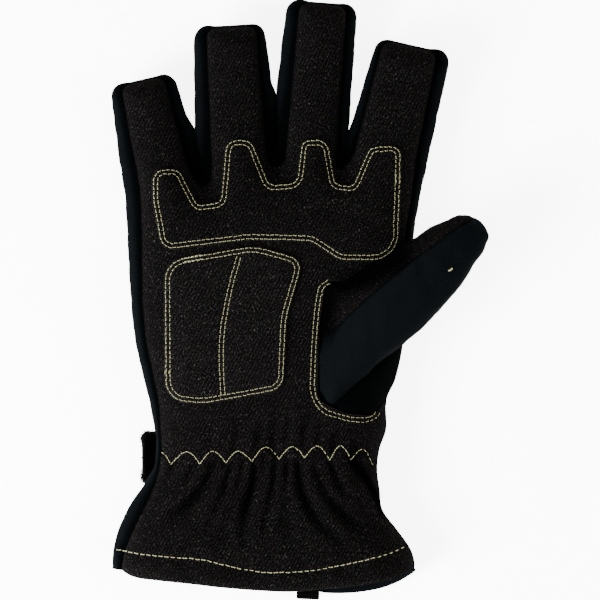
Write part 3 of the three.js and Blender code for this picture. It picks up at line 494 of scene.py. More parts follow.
def palm_top(x, y):
    """The palm fabric's finished surface: its form with soft waves, the channels of the stitches, the
    elastic's small pleats and the hem's puckers."""
    inside, nx, ny = to_seam(x, y)
    z = palm_form(x, y, inside)
    z = z - rows_pressed(*from_line(x, y, thumb_line), 0.4)
    away, _ = from_line(x, y, zigzag_line)
    z = z - 0.55 * bell(away, 1.0) - 0.5 * bell(away, 5.0)
    away, gone = from_line(x, y, hem_line)
    z = z - (0.5 + 0.15 * np.cos(2 * np.pi * gone / HEM_PITCH)) * bell(away, 0.8)
    z = z + 0.22 * ripple(x, y, 9, 3) * bell(away + 3, 4)
    away, gone = from_line(x, y, SIDE_FOLD)
    z = z - 2.0 * np.exp(-(np.abs(away) / 1.3) ** 1.6) + 0.7 * bell(away - 2.2, 2.0) * (gone > 0.5)
    cuff = 1 - smooth(-76, -48, y)
    z = z + (0.16 + 0.22 * cuff) * ripple(x, y, 17, 1) + (0.07 + 0.05 * cuff) * ripple(x, y, 6, 2)
    return z + 0.16 * ripple(x, y, 6.5, 4) * np.exp(-np.maximum(inside, 0) / 2.6)


def palm_painted_shade(x, y):
    """The painted shade on the palm's cloth: how much its colour is darkened in the gathers and the side
    fold, under the elastic's stitches, at the seams and under the thumb, added up and at most 1."""
    fold = np.clip(fold_depth(x, y) / 3.6, 0, 0.8) * (1 - 0.5 * smooth(-72, -66, y))
    at_seam = 0.8 * bell(np.maximum(to_seam(x, y)[0], 0), 0.9) * (y > -100)
    beside, pinched = from_line(x, y, SIDE_FOLD)[0], from_line(x, y, zigzag_line)[0]
    side_fold = bell(beside, 1.5) + 0.6 * smooth(0, 1.2, beside) * bell(beside, 5.5)
    under_thumb = 0.75 * bell(in_hole(x, y), 5.0) * smooth(-6, 9, y) * smooth(10, 20, x)
    return np.clip(fold + side_fold + at_seam + 0.3 * bell(pinched, 1.4) + under_thumb, 0, 1)


def unfolded(x, y, inside, nx, ny):
    """Where a point of the palm lay on the flat cloth: the extra length of its slope is added outwards.
    The slope falls off as an exponential, which gives that length in closed form."""
    l = levels(x, y)
    m = (l["top"] - l["seam_top"]) / l["roll"] * np.exp(-np.maximum(inside, 0) / l["roll"])
    root = np.sqrt(1 + m * m)
    extra = l["roll"] * (root - 1 - np.log((1 + root) / 2))
    return np.column_stack([np.ravel(x - nx * extra), np.ravel(y - ny * extra)])


def comb(back):
    """The hand's grid, seen from above: columns over the four fingers and the crotches between them, rows
    from the hem to the finger roots and on to each tip. Returns x, y and the quads' corners."""
    ends = np.array([1, 0.98, 0.95, 0.91])
    u = np.r_[-ends, np.linspace(-0.86, 0.86, 21), ends[::-1]]
    t = np.linspace(0, 1, 9)[1:-1]
    columns = []
    for k in range(4):
        columns.append(np.column_stack(finger_point(k, u, 0.0)))
        if k < 3:
            columns.append(np.column_stack(crotch_point(k, t)))
    roots = np.vstack(columns)
    rows = np.r_[0, 0.0009, 0.0022, 0.004, 0.0065, np.linspace(0.0105, 1, 178)][:, None]
    root_x, root_y = roots.T
    left, right = along(SIDES, 1, root_y), along(SIDES, 2, root_y)
    share = (root_x - left) / (right - left)
    share[0], share[-1] = 0, 1
    even = np.linspace(0, 1, len(roots))
    across = mix(even, share, smooth(0, 0.75, rows))
    y = mix(hem_y(mix(SIDES[1, 1], SIDES[1, 2], across), back), root_y, rows)
    x = mix(along(SIDES, 1, y), along(SIDES, 2, y), across)
    x[-1], y[-1] = root_x, root_y
    xs, ys = [x.ravel()], [y.ravel()]
    index = np.arange(x.size).reshape(x.shape)
    quads = [grid_faces(index)]
    total, first = x.size, 0
    for k in range(4):
        length = FINGERS[k, 3]
        corner = CORNER / length
        shaft = np.linspace(0, 1 - corner, int(length / 1.1))[1:]
        v = np.r_[shaft, 1 - corner * (1 - np.array([0.2, 0.4, 0.6, 0.75, 0.87, 0.95, 1]))]
        fx, fy = finger_point(k, u[None, :], v[:, None])
        rows_of = total + np.arange(fx.size).reshape(fx.shape)
        quads.append(grid_faces(np.vstack([index[-1, first:first + len(u)], rows_of])))
        xs.append(fx.ravel())
        ys.append(fy.ravel())
        total += fx.size
        first += len(u) + len(t)
    return np.concatenate(xs), np.concatenate(ys), np.vstack(quads)


def grid_faces(index):
    """The quads between the rows and columns of a grid of point numbers, seen from the front."""
    return np.stack([index[:-1, :-1], index[:-1, 1:], index[1:, 1:], index[1:, :-1]], -1).reshape(-1, 4)


def cut_out(x, y, quads, inside):
    """Cuts a hole where inside(x, y) is positive: of every edge that crosses the hole's outline, the
    nearer end moves onto it, and then the faces inside are dropped."""
    x, y = x.copy(), y.copy()
    s = inside(x, y)
    edges = np.vstack([quads[:, [i, (i + 1) % 4]] for i in range(4)])
    crossing = edges[s[edges[:, 0]] * s[edges[:, 1]] < 0]
    first_nearer = np.abs(s[crossing[:, 0]]) <= np.abs(s[crossing[:, 1]])
    move = np.unique(np.where(first_nearer, crossing[:, 0], crossing[:, 1]))
    for _ in range(3):
        e = 0.02
        px, py = x[move], y[move]
        gx = (inside(px + e, py) - inside(px - e, py)) / (2 * e)
        gy = (inside(px, py + e) - inside(px, py - e)) / (2 * e)
        long2 = np.maximum(gx ** 2 + gy ** 2, 0.2)
        here = inside(px, py)
        x[move], y[move] = px - here * gx / long2, py - here * gy / long2
    s = inside(x, y)
    s[move] = 0
    deep = s[quads] > 0
    count = deep.sum(1)
    middle = s[quads].mean(1)
    whole = quads[(count == 0) & (middle <= 0)]
    single = quads[count == 1]
    at = np.argmax(s[single] > 0, axis=1)
    turned = np.take_along_axis(single, (at[:, None] + np.arange(1, 4)) % 4, 1)
    corners = turned[(s[turned[:, 1]] < 0) & (s[turned[:, 0]] <= 0) & (s[turned[:, 2]] <= 0)]
    return x, y, whole, corners


def boundary(faces, count):
    """The edges that only one face uses, in that face's direction."""
    edges = np.vstack([f[:, [i, (i + 1) % f.shape[1]]] for f in faces for i in range(f.shape[1])])
    edges = edges.astype(np.int64)
    keys, back = edges[:, 0] * count + edges[:, 1], edges[:, 1] * count + edges[:, 0]
    return edges[~np.isin(keys, back)]


def shell(outer, inner, faces):
    """A closed wall between an outer sheet and an inner one. Returns points, faces, and for each face
    whether it is the lining's."""
    count = len(outer)
    rim = boundary(faces, count)
    rim = np.column_stack([rim[:, 1], rim[:, 0], rim[:, 0] + count, rim[:, 1] + count])
    made = [*faces, rim, *[f[:, ::-1] + count for f in faces]]
    lining_of = [np.zeros(sum(map(len, faces)) + len(rim), int), np.ones(sum(map(len, faces)), int)]
    return np.vstack([outer, inner]), made, np.concatenate(lining_of)


def make_piece(
    name, points, faces, cloth, wear_and_highlight, finishes, slot, nodes="", finish_of=None, sharp=70, painted_shade=None,
):
    """A mesh object from points in the drawing's millimetres. cloth is each point's place on the flat cloth
    in metres; the wear mask is 1 where rubbing wears an edge or seam, and on the loop pile it marks a painted
    highlight at the rim; the painted shade mask is 1 deep in a fold or crevice, where it darkens the colour.
    Points that no face uses are left out. It replaces the CAD nodes named."""
    used = np.unique(np.concatenate([f.ravel() for f in faces]))
    new = np.zeros(len(points), int)
    new[used] = np.arange(len(used))
    faces = [new[f] for f in faces]
    mesh = bpy.data.meshes.new(name)
    mesh.vertices.add(len(used))
    mesh.vertices.foreach_set("co", ((points[used] + ORIGIN) * MM).astype(np.float32).ravel())
    corners = np.concatenate([f.ravel() for f in faces])
    sizes = np.concatenate([np.full(len(f), f.shape[1]) for f in faces])
    for part, count in ((mesh.loops, len(corners)), (mesh.polygons, len(sizes))):
        part.add(count)
    mesh.loops.foreach_set("vertex_index", corners.astype(np.int32))
    mesh.polygons.foreach_set("loop_start", np.r_[0, np.cumsum(sizes)[:-1]].astype(np.int32))
    mesh.polygons.foreach_set("use_smooth", np.ones(len(sizes), bool))
    if finish_of is not None:
        mesh.polygons.foreach_set("material_index", finish_of.astype(np.int32))
    mesh.update(calc_edges=True)
    mesh.uv_layers.new(name="cloth").data.foreach_set("uv", cloth[used][corners].astype(np.float32).ravel())
    for attribute, values in (("wear_and_highlight", wear_and_highlight), ("painted_shade", painted_shade)):
        if values is not None:
            made = mesh.attributes.new(attribute, "FLOAT", "POINT")
            made.data.foreach_set("value", values[used].astype(np.float32))
    mesh.set_sharp_from_angle(angle=np.radians(sharp))
    for finish in finishes:
        mesh.materials.append(finish)
    made = bpy.data.objects.new(name, mesh)
    bpy.context.scene.collection.objects.link(made)
    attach(made, "root")
    if nodes:
        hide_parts(*nodes.split())
    return made


def wall_piece(
    name, outer, inner, faces, cloth, wear_and_highlight, finish, slot, nodes, painted_shade=None, from_hem=None, sharp=48,
):
    """A piece of lined cloth as a closed wall between two sheets. Inside the hem, where the outer cloth is
    turned in, the wall's inner side has the outer cloth's finish."""
    points, all_faces, is_lining = shell(outer, inner, faces)
    if from_hem is not None:
        height = np.concatenate([np.r_[from_hem, from_hem][f].mean(1) for f in all_faces])
        is_lining = is_lining * (height > TURNED_IN)
    return make_piece(
        name, points, all_faces, np.vstack([cloth, cloth]), np.r_[wear_and_highlight, wear_and_highlight * 0], [finish, lining], slot,
        nodes, is_lining, sharp, None if painted_shade is None else np.r_[painted_shade, painted_shade],
    )


def feed(tree, socket, value):
    """Gives a node's socket a value, or links it to another node's output."""
    if isinstance(value, bpy.types.NodeSocket):
        tree.links.new(value, socket)
    else:
        socket.default_value = value


def put(tree, kind, inputs=None, **settings):
    """Adds a node to a tree; inputs maps its sockets to numbers or to other nodes' outputs."""
    made = tree.nodes.new("ShaderNode" + kind)
    for key, value in settings.items():
        setattr(made, key, value)
    for key, value in (inputs or {}).items():
        feed(tree, made.inputs[key], value)
    return made


def noise(tree, place, scale, detail, roughness=0.5):
    inputs = {"Vector": place, "Scale": scale, "Detail": detail, "Roughness": roughness}
    return put(tree, "TexNoise", inputs).outputs["Fac"]


def spread(tree, value, low, high, least=0.0):
    """A value's range from low to high, spread out from least to 1."""
    inputs = {"Value": value, "From Min": low, "From Max": high, "To Min": least}
    return put(tree, "MapRange", inputs).outputs[0]


def effect(name, takes, gives):
    """A shader group with named inputs and outputs. Returns the tree and its two ends."""
    tree = bpy.data.node_groups.new(name, "ShaderNodeTree")
    for title, kind, value in takes:
        socket = tree.interface.new_socket(title, in_out="INPUT", socket_type="NodeSocket" + kind)
        if value is not None:
            socket.default_value = value
    for title in gives:
        tree.interface.new_socket(title, in_out="OUTPUT", socket_type="NodeSocketFloat")
    return tree, tree.nodes.new("NodeGroupInput").outputs, tree.nodes.new("NodeGroupOutput").inputs


def maths(tree, operation, a, b=0.0, c=0.0):
    return put(tree, "Math", {0: a, 1: b, 2: c}, operation=operation).outputs[0]


def wave_of(tree, place, angle, pitch, wobble=None):
    """A sine from 0 to 1 across the flat cloth, with its crests in a direction and its pitch in metres."""
    split = put(tree, "SeparateXYZ", {0: place})
    k = 2 * np.pi / pitch
    u = maths(tree, "MULTIPLY", split.outputs[0], float(np.cos(angle) * k))
    sum_ = maths(tree, "MULTIPLY_ADD", split.outputs[1], float(np.sin(angle) * k), u)
    if wobble is not None:
        sum_ = maths(tree, "ADD", sum_, wobble)
    return maths(tree, "MULTIPLY_ADD", maths(tree, "SINE", sum_), 0.5, 0.5)


# Grain of the woven cloth: slanting ribs, the yarns that cross in them, and paler fibres in the twist
weave, w_in, w_out = effect(
    "melange_weave", [("Place", "Vector", None), ("Ribs", "Float", 0.5)], ["Height", "Fleck", "Tone"],
)
place = w_in["Place"]
wobble = maths(weave, "MULTIPLY", noise(weave, place, 420.0, 2.0), 3.2)
ribs = wave_of(weave, place, np.radians(-28), 0.00150, wobble)
weft_yarn = wave_of(weave, place, np.radians(62), 0.00092, wobble)
slant = {"Vector": place, "Rotation": (0, 0, np.radians(-24)), "Scale": (1.0, 0.7, 1.0)}
slanted = put(weave, "Mapping", slant).outputs[0]
floats = spread(weave, noise(weave, slanted, 1700.0, 2.0, 0.62), 0.34, 0.74)
twist = maths(weave, "MULTIPLY_ADD", ribs, w_in["Ribs"], maths(weave, "SUBTRACT", 1.0, w_in["Ribs"]))
height = maths(weave, "MULTIPLY_ADD", ribs, 0.4, maths(weave, "MULTIPLY", floats, 0.8))
feed(weave, w_out["Height"], maths(weave, "MULTIPLY_ADD", weft_yarn, 0.3, height))
bright = spread(weave, noise(weave, slanted, 1250.0, 2.0, 0.7), 0.62, 0.78)
clumps = spread(weave, noise(weave, place, 90.0, 3.0), 0.35, 0.65, 0.3)
feed(weave, w_out["Fleck"], maths(weave, "MULTIPLY", bright, clumps))
feed(weave, w_out["Tone"], maths(weave, "MULTIPLY", maths(weave, "POWER", floats, 2.2), twist))

# Nap: the short fuzz that stands up on brushed cloth, stronger where the cloth wears
nap, n_in, n_out = effect(
    "nap", [("Place", "Vector", None), ("Worn", "Float", 0.0), ("Fineness", "Float", 1.0)],
    ["Height", "Mask"],
)
fine = noise(nap, n_in["Place"], maths(nap, "MULTIPLY", n_in["Fineness"], 2600.0), 4.0)
feed(nap, n_out["Height"], fine)
patchy = maths(nap, "MULTIPLY", noise(nap, n_in["Place"], 120.0, 2.0), 0.5)
rubbed_and_highlit = maths(nap, "MULTIPLY_ADD", n_in["Worn"], 0.7, patchy)
feed(nap, n_out["Mask"], maths(nap, "MULTIPLY", spread(nap, fine, 0.45, 0.75), rubbed_and_highlit))


def napped(tree, place, wear_and_highlight, fineness=1.0):
    """The nap's outputs, Height and Mask, at a place."""
    return put(tree, "Group", {"Place": place, "Worn": wear_and_highlight, "Fineness": fineness}, node_tree=nap).outputs


def cloth_finish(name, colour, rough, sheen, build):
    """A cloth material: build(tree, place, worn) returns the colour, the height of its surface, and how
    strong and how high the bump is."""
    made = bpy.data.materials.new(name)
    made.use_nodes = True
    tree = made.node_tree
    shader = tree.nodes["Principled BSDF"].inputs
    made.diffuse_color = (*colour, 1)
    shader["Roughness"].default_value = rough
    shader["Sheen Weight"].default_value = sheen
    shader["Sheen Roughness"].default_value = 0.45
    shader["Specular IOR Level"].default_value = 0.002
    place = put(tree, "UVMap", uv_map="cloth").outputs[0]
    wear_and_highlight = put(tree, "Attribute", attribute_name="wear_and_highlight").outputs["Fac"]
    tint, height, strength, depth = build(tree, place, wear_and_highlight)
    bump = put(tree, "Bump", {"Height": height, "Strength": strength, "Distance": depth})
    feed(tree, shader["Base Color"], tint)
    feed(tree, shader["Normal"], bump.outputs[0])
    return made


def blend(tree, a, b, factor, share=None):
    """Two colours mixed by a factor, of which a share may be taken; each may be a colour or a socket."""
    if share is not None:
        factor = maths(tree, "MULTIPLY", factor, share)
    made = put(tree, "Mix", data_type="RGBA")
    for index, value in ((0, factor), (6, a), (7, b)):
        feed(tree, made.inputs[index], (*value, 1) if isinstance(value, tuple) else value)
    return made.outputs[2]


def darkened_by_painted_shade(tree, tint, dark, share):
    """A colour darkened towards a dark tone by painted shade, deep in folds, at seams and in crevices."""
    return blend(tree, tint, dark, put(tree, "Attribute", attribute_name="painted_shade").outputs["Fac"], share)


def woven(warm, cool, fleck):
    """The textured cloth in given tones: yarn that turns from brown to grey, dark between its floats, with
    pale flecks of fibre, and painted shade that darkens it in folds and at seams."""
    dark = (0.00004, 0.00004, 0.00004)

    def build(tree, place, wear_and_highlight):
        grain = put(tree, "Group", {"Place": place, "Ribs": 0.75}, node_tree=weave).outputs
        yarn = blend(tree, warm, cool, spread(tree, noise(tree, place, 700.0, 1.0), 0.4, 0.6))
        tint = blend(tree, dark, yarn, grain["Tone"])
        tint = blend(tree, tint, fleck, grain["Fleck"], 0.7)
        tint = blend(tree, tint, fleck, napped(tree, place, wear_and_highlight)["Mask"], 0.12)
        return darkened_by_painted_shade(tree, tint, dark, 0.88), grain["Height"], 0.9, 0.00042
    return build


textured_cloth = cloth_finish(
    "textured_cloth", (0.012, 0.010, 0.010), 0.92, 0.0004,
    woven((0.0128, 0.0098, 0.0088), (0.0088, 0.0086, 0.0094), (0.066, 0.062, 0.058)),
)
rubbed_cloth = cloth_finish(
    "rubbed_textured_cloth", (0.014, 0.012, 0.012), 0.92, 0.0004,
    woven((0.0156, 0.0124, 0.0112), (0.0112, 0.0108, 0.0116), (0.090, 0.086, 0.080)),
)


def fleece(tree, place, wear_and_highlight):
    """Soft brushed lining."""
    fuzz = napped(tree, place, wear_and_highlight, 0.5)["Height"]
    return blend(tree, (0.0008, 0.0008, 0.0009), (0.004, 0.004, 0.0045), fuzz), fuzz, 0.9, 0.0006


lining = cloth_finish("lining", (0.02, 0.02, 0.022), 1.0, 0.002, fleece)


def corner_rounded(x, y, back, radius=4.5):
    """The hem's corner on the thumb's side made round: near it, the square rings round the arc's centre
    are bent into arcs, as at the finger tips."""
    inside, nx, ny = to_seam(x, y)
    over_side, over_hem = radius - np.maximum(inside, 0), radius - (y - hem_y(x, back))
    aside, onward = ring_to_arc(over_side, over_hem)
    corner = (over_side > 0) & (over_hem > 0) & (x > 0) & (y < -100)
    aside, up = np.where(corner, over_side - aside, 0), np.where(corner, over_hem - onward, 0)
    return x + nx * aside, y + ny * aside + up


def rounding(away, radius):
    """How far a surface turns down towards its edge: nearly a quarter circle."""
    short = np.clip(1 - away / radius, 0, 1)
    return radius * (1 - np.sqrt(1 - short ** 2 * 0.98))


def set_in(inside):
    """For the lining near a seam: how far it is pulled inwards, and how far inside the seam it then lies."""
    pull = np.maximum(0, 1 - inside / (3 * INSET)) * INSET
    return pull, np.where(inside < 3 * INSET, inside * 2 / 3, inside - INSET)


def shifted(x, y, z, nx, ny, by, from_hem):
    """Points moved sideways, but along the hand only where they are clear of the hem."""
    return np.column_stack([x + nx * by, y + ny * by * (from_hem > 1), z])


def palm_sheets(x, y):
    """The outer and inner points of the palm's cloth at places, with the seams' rolled edges and the hem's
    round fold, where each lay on the flat cloth, how much rubbing wears it, and how far above the hem."""
    inside, nx, ny = to_seam(x, y)
    inside = np.maximum(inside, 0)
    l = levels(x, y)
    edge = bell(inside, ROLL_WIDTH)
    hole = in_hole(x, y)
    z = palm_top(x, y) - ROLL_IN * edge * l["strip"] - 0.35 * bell(hole, 0.5)
    from_hem = np.where(l["v"] > 0, FAR, y - hem_y(x, False))
    round_down = rounding(from_hem, HEM["palm_edge"])
    outer = shifted(x, y, z - round_down, nx, ny, ROLL_ASIDE * edge, from_hem)
    pull, deeper = set_in(inside)
    z_in = palm_form(x, y, deeper, 1.0)
    z_in = np.maximum(z_in, mix(z - 1.0, z_in, smooth(0.4, 4.5, -hole))) + round_down
    z_in = np.minimum(z_in, z - round_down - 0.05)
    inner = shifted(x, y, z_in, nx, ny, pull, from_hem)
    wear_and_highlight = np.clip(np.exp(-inside / 1.6) + np.exp(-np.abs(hole) / 1.2) + np.exp(-from_hem / 2.0), 0, 1)
    return outer, inner, unfolded(x, y, inside, nx, ny) * MM, wear_and_highlight, y - hem_y(x, False)


palm_x, palm_y, palm_quads = comb(False)
palm_x, palm_y = corner_rounded(palm_x, palm_y, False)
palm_x, palm_y, *palm_faces = cut_out(palm_x, palm_y, palm_quads, in_hole)
outer, inner, cloth, wear_and_highlight, from_hem = palm_sheets(palm_x, palm_y)
palm_piece = wall_piece(
    "palm_fabric", outer, inner, palm_faces, cloth, wear_and_highlight, textured_cloth, "textured_fabric",
    "palm_panel cuff_panel", palm_painted_shade(palm_x, palm_y), from_hem,
)


# The back of the hand
# Plain navy knit, from the hem to the finger tips, on which the glove lies. It is sewn to the side strips,
# and below the thumb straight to the palm; its turned hem hangs a little lower than the palm's.
BACK_ROW = 8.0  # how far above the hem's edge the back is sewn
NAVY_FUZZ = (0.020, 0.026, 0.030)
PLAIN_KNIT = dict(
    dark=(0.00005, 0.00007, 0.00009), light=(0.0050, 0.0064, 0.0073), wale=0.0009, ribs=0.45, fuzz=0.04,
)
RIBBED_KNIT = dict(
    dark=(0.00003, 0.00004, 0.00005), light=(0.0036, 0.0046, 0.0054), wale=0.00115, ribs=0.9, fuzz=0.10,
)


def knit(dark, light, wale, ribs, fuzz):
    """Close knit with a soft face: wales of a pitch along the cloth, strong or weak, and fuzz over them,
    with painted shade that darkens it in folds, at seams and in crevices.
    """
    def build(tree, place, wear_and_highlight):
        pile_height, mask = napped(tree, place, wear_and_highlight, 0.8)
        wander = noise(tree, place, 300.0, 2.0)
        wales = wave_of(tree, place, 0.0, wale, maths(tree, "MULTIPLY", wander, 1.2))
        courses = wave_of(tree, place, np.pi / 2, 0.0007, maths(tree, "MULTIPLY", wander, 2.0))
        ridges = maths(tree, "MULTIPLY", maths(tree, "POWER", wales, 1.6), ribs)
        loops = maths(tree, "MULTIPLY_ADD", courses, 0.2, ridges)
        speckle = maths(tree, "MULTIPLY_ADD", spread(tree, pile_height, 0.3, 0.7), 0.8, 0.2)
        tone = maths(tree, "MULTIPLY", maths(tree, "MULTIPLY_ADD", loops, 0.9, 0.06), speckle)
        tint = blend(tree, blend(tree, dark, light, tone), NAVY_FUZZ, mask, fuzz)
        height = maths(tree, "MULTIPLY_ADD", pile_height, 0.4, loops)
        return darkened_by_painted_shade(tree, tint, dark, 0.85), height, 0.6, 0.00022
    return build


navy_cloth = cloth_finish("navy_knit", (0.006, 0.010, 0.013), 0.85, 0.0004, knit(**PLAIN_KNIT))
ribbed_cloth = cloth_finish("ribbed_navy_knit", (0.006, 0.011, 0.015), 0.85, 0.0006, knit(**RIBBED_KNIT))


def back_form(x, y, inside, inner=0.0):
    """The back's surface: flat on the ground, or lifted over the strap, and risen to its seam at the sides
    by an exponential of a power."""
    l = levels(x, y)
    seam, bottom = l["seam_bottom"] + inner * WALL * l["strip"], l["room"] + inner * WALL
    rise = (seam - bottom) * np.exp(-(np.maximum(inside, 0) / 5.0) ** 1.15)
    return l["lift"] + bottom + rise


back_x, back_y, back_quads = comb(True)
back_x, back_y = corner_rounded(back_x, back_y, True)
inside, nx, ny = to_seam(back_x, back_y)
inside = np.maximum(inside, 0)
l = levels(back_x, back_y)
edge = bell(inside, ROLL_WIDTH)
from_hem = np.where(l["v"] > 0, FAR, back_y - hem_y(back_x, True))
round_up = rounding(from_hem, HEM["back_edge"])
waves = 0.25 + 0.25 * ripple(back_x, back_y, 24, 11) + 0.08 * ripple(back_x, back_y, 7, 12)
hem_press = 0.45 * bell(from_hem - BACK_ROW, 0.8)
lower_z = back_form(back_x, back_y, inside) + ROLL_IN * edge * l["strip"]
lower_z = lower_z + np.maximum(waves, 0) + hem_press + round_up
outer = shifted(back_x, back_y, lower_z, nx, ny, ROLL_ASIDE * edge, from_hem)
pull, deeper = set_in(inside)
upper_z = np.maximum(back_form(back_x, back_y, deeper, 1.0) - round_up, lower_z + 0.05)
inner = shifted(back_x, back_y, upper_z, nx, ny, pull, from_hem)
cloth = np.column_stack([back_x - nx * 2 * edge, back_y - ny * 2 * edge]) * MM
wear_and_highlight = np.clip(np.exp(-inside / 1.6) + np.exp(-from_hem / 2.0), 0, 1)
back_piece = wall_piece(
    "back_fabric", outer, inner, [back_quads[:, ::-1]], cloth, wear_and_highlight, navy_cloth, "navy_knit", "back_panel",
    from_hem=from_hem,
)


# The strips between palm and back
# Navy knit, cut as long strips: one down each side of the hand and one through each gap between two
# fingers. Each is sewn to the palm fabric above and to the back below, and bulges with the padding.
STRIP_END_Y = -10.0  # where the index finger's strip ends, under the thumb
CLOSING = 12.0  # over what length the gap between two fingers closes
# In a gap: how far the strips stay apart, how much further they bulge where it closes, the most they bulge,
# and how deep they press into each other there
GAP = dict(apart=0.12, further=0.6, most=9.0, pressed=0.25)
SEAM_SHADE = 1.3  # how far from a seam the painted shade reaches


def outline_room():
    """How far a strip can bulge at each outline point before it meets the next finger's: the radius of the
    circle that touches the outline there and passes through another point of it."""
    p = OUTLINE[:, :2]
    dx, dy = p[None, :, 0] - p[:, None, 0], p[None, :, 1] - p[:, None, 1]
    ahead = dx * OUTWARD[:, 0:1] + dy * OUTWARD[:, 1:2]
    apart = np.abs(np.arange(len(p))[:, None] - np.arange(len(p)))
    far_ahead = (ahead > 1e-6) & (apart > 3)
    return np.where(far_ahead, (dx ** 2 + dy ** 2) / (2 * np.maximum(ahead, 1e-6)), np.inf).min(1)


ROOM = outline_room()


def off_line(at, side, wide, z):
    """Points beside those of a line, by distances along the direction to its side, at given heights."""
    return np.stack([at[..., 0:1] + side[..., 0:1] * wide, at[..., 1:2] + side[..., 1:2] * wide, z], -1)


def side_strip(name, node, start, end, closed_below=None):
    """A strip over part of the outline: across it, it bulges as a power of a sine from seam to seam, and
    its edges roll into the seams. Between two fingers it fills the gap below a height, and the two sides
    touch there."""
    part = slice(start, end)
    p, n, room = OUTLINE[part, :2], OUTWARD[part], ROOM[part]
    l = {key: value[:, None] for key, value in levels(*p.T).items()}
    bulge = np.maximum(0.2, np.minimum(OUTLINE[part, 2], room - GAP["apart"]))
    bulge = np.minimum(bulge, np.convolve(np.pad(bulge, 4, mode="edge"), np.ones(9) / 9, "valid"))
    pressed = crotch = 0
    if closed_below:
        opened = smooth(closed_below, closed_below + CLOSING, p[:, 1])
        closed = np.minimum(room + GAP["further"], GAP["most"])
        bulge = mix(np.maximum(bulge, closed), bulge, opened)
        pressed = GAP["pressed"] * (1 - opened)
        crotch = 0.8 * (1 - smooth(closed_below - CLOSING, closed_below + CLOSING, p[:, 1]))[:, None]
    bulge = bulge[:, None]
    t = np.r_[0, 0.02, 0.05, 0.09, np.linspace(0.14, 0.86, 13), 0.91, 0.95, 0.98, 1]
    way = lengths(p)[:, None] + 0 * t
    high, low = l["seam_top"], l["seam_bottom"]
    tall = np.maximum(high - low, 1)
    from_top, from_low = t * tall, (1 - t) * tall
    top_edge, low_edge = bell(from_top, ROLL_WIDTH), bell(from_low, ROLL_WIDTH)
    soft = 0.14 * ripple(way, from_top, 11, start) + 0.06 * ripple(way, from_top, 5, start + 1)
    pucker = 0.14 * ripple(way, 3.0, 5.5, start + 2) * (np.exp(-from_top / 2.2) + np.exp(-from_low / 2.2))
    lump = (soft * np.sin(np.pi * t) + pucker) * np.minimum(1, bulge / 2)
    arched = bulge * np.sin(np.pi * t) ** 0.7
    out = arched + np.minimum(lump, 0.1) - 0.3 * (top_edge + low_edge)
    out = np.minimum(out, (room - 0.01 + pressed)[:, None])
    z = l["lift"] + mix(high, low, t) - ROLL_IN * (top_edge - low_edge) * l["strip"]
    rim = WALL * l["strip"] + 0.4
    z_in = l["lift"] + mix(high - rim, low + rim, t)
    outer = off_line(p, n, out, z).reshape(-1, 3)
    inner = off_line(p, n, arched - WALL - 0.4, z_in).reshape(-1, 3)
    quads = grid_faces(np.arange(len(outer)).reshape(out.shape))
    if node == "side_panel_index":
        kept = ~(in_thumb(*outer.T) > 1.0)
        quads = quads[kept[quads].any(1)]
    steps = np.hypot(np.diff(out, axis=1, prepend=out[:, :1]), np.diff(z, axis=1, prepend=z[:, :1]))
    cloth = np.stack([way, np.cumsum(steps, axis=1)], -1).reshape(-1, 2) * MM
    wear_and_highlight = (np.exp(-from_top / 1.2) + np.exp(-from_low / 1.2)).ravel()
    # Painted shade: the knit's colour is darkened along both seams and, between two fingers, low down where
    # the gap closes.
    painted_shade = np.clip(bell(from_top, SEAM_SHADE) + bell(from_low, SEAM_SHADE) + crotch, 0, 1).ravel()
    wall_piece(name, outer, inner, [quads], cloth, wear_and_highlight, navy_cloth, "navy_knit", node, painted_shade)


# The thumb
# A tube sewn of two cloths: the textured one on the side of the fingers, the ribbed navy knit on the
# outer side, with a gusset of plain knit between it and the wrist. Its root is tucked under the palm.
# The thumb from root to tip: number, upper edge x and y, lower edge x and y, heights, squareness
THUMB = np.array([
    [0, 14.3, 7.4, 10.1, -47.4, 32.2, 9, 5], [1, 20.7, 10.1, 15.2, -49.7, 35.5, 8.5, 3.8],
    [2, 28.5, 13.8, 25.8, -39.6, 38.8, 8, 3.0], [3, 38.6, 18.9, 38.6, -28.5, 41.0, 8.5, 2.6],
    [4, 48.3, 24.4, 51.5, -18.4, 41.5, 10, 2.5], [5, 56.6, 29.6, 63.4, -6.8, 41.0, 12.5, 2.4],
    [6, 64.4, 34.0, 72.5, 3.5, 39.8, 14.5, 2.4], [7, 70.8, 36.9, 79.3, 13.8, 37.8, 16.5, 2.3],
    [8, 75.9, 37.4, 84.0, 20.8, 35.5, 18.5, 2.2], [9, 80.2, 36.0, 86.6, 26.2, 32.4, 21.5, 2.05],
], float)
THUMB_TIP = np.array([85.0, 32.2, 27.0])
SEAM_FROM, SEAM_TO = np.array([8.2, -19.5, 38.0]), np.array([70.3, 31.1, 38.0])
SEAM_LEAN = 0.32
seam_onward = unit(SEAM_TO - SEAM_FROM)
seam_rising = np.array([-seam_onward[1] * SEAM_LEAN, seam_onward[0] * SEAM_LEAN, 1.0])
SEAM_ACROSS = np.cross(unit(seam_rising), seam_onward)


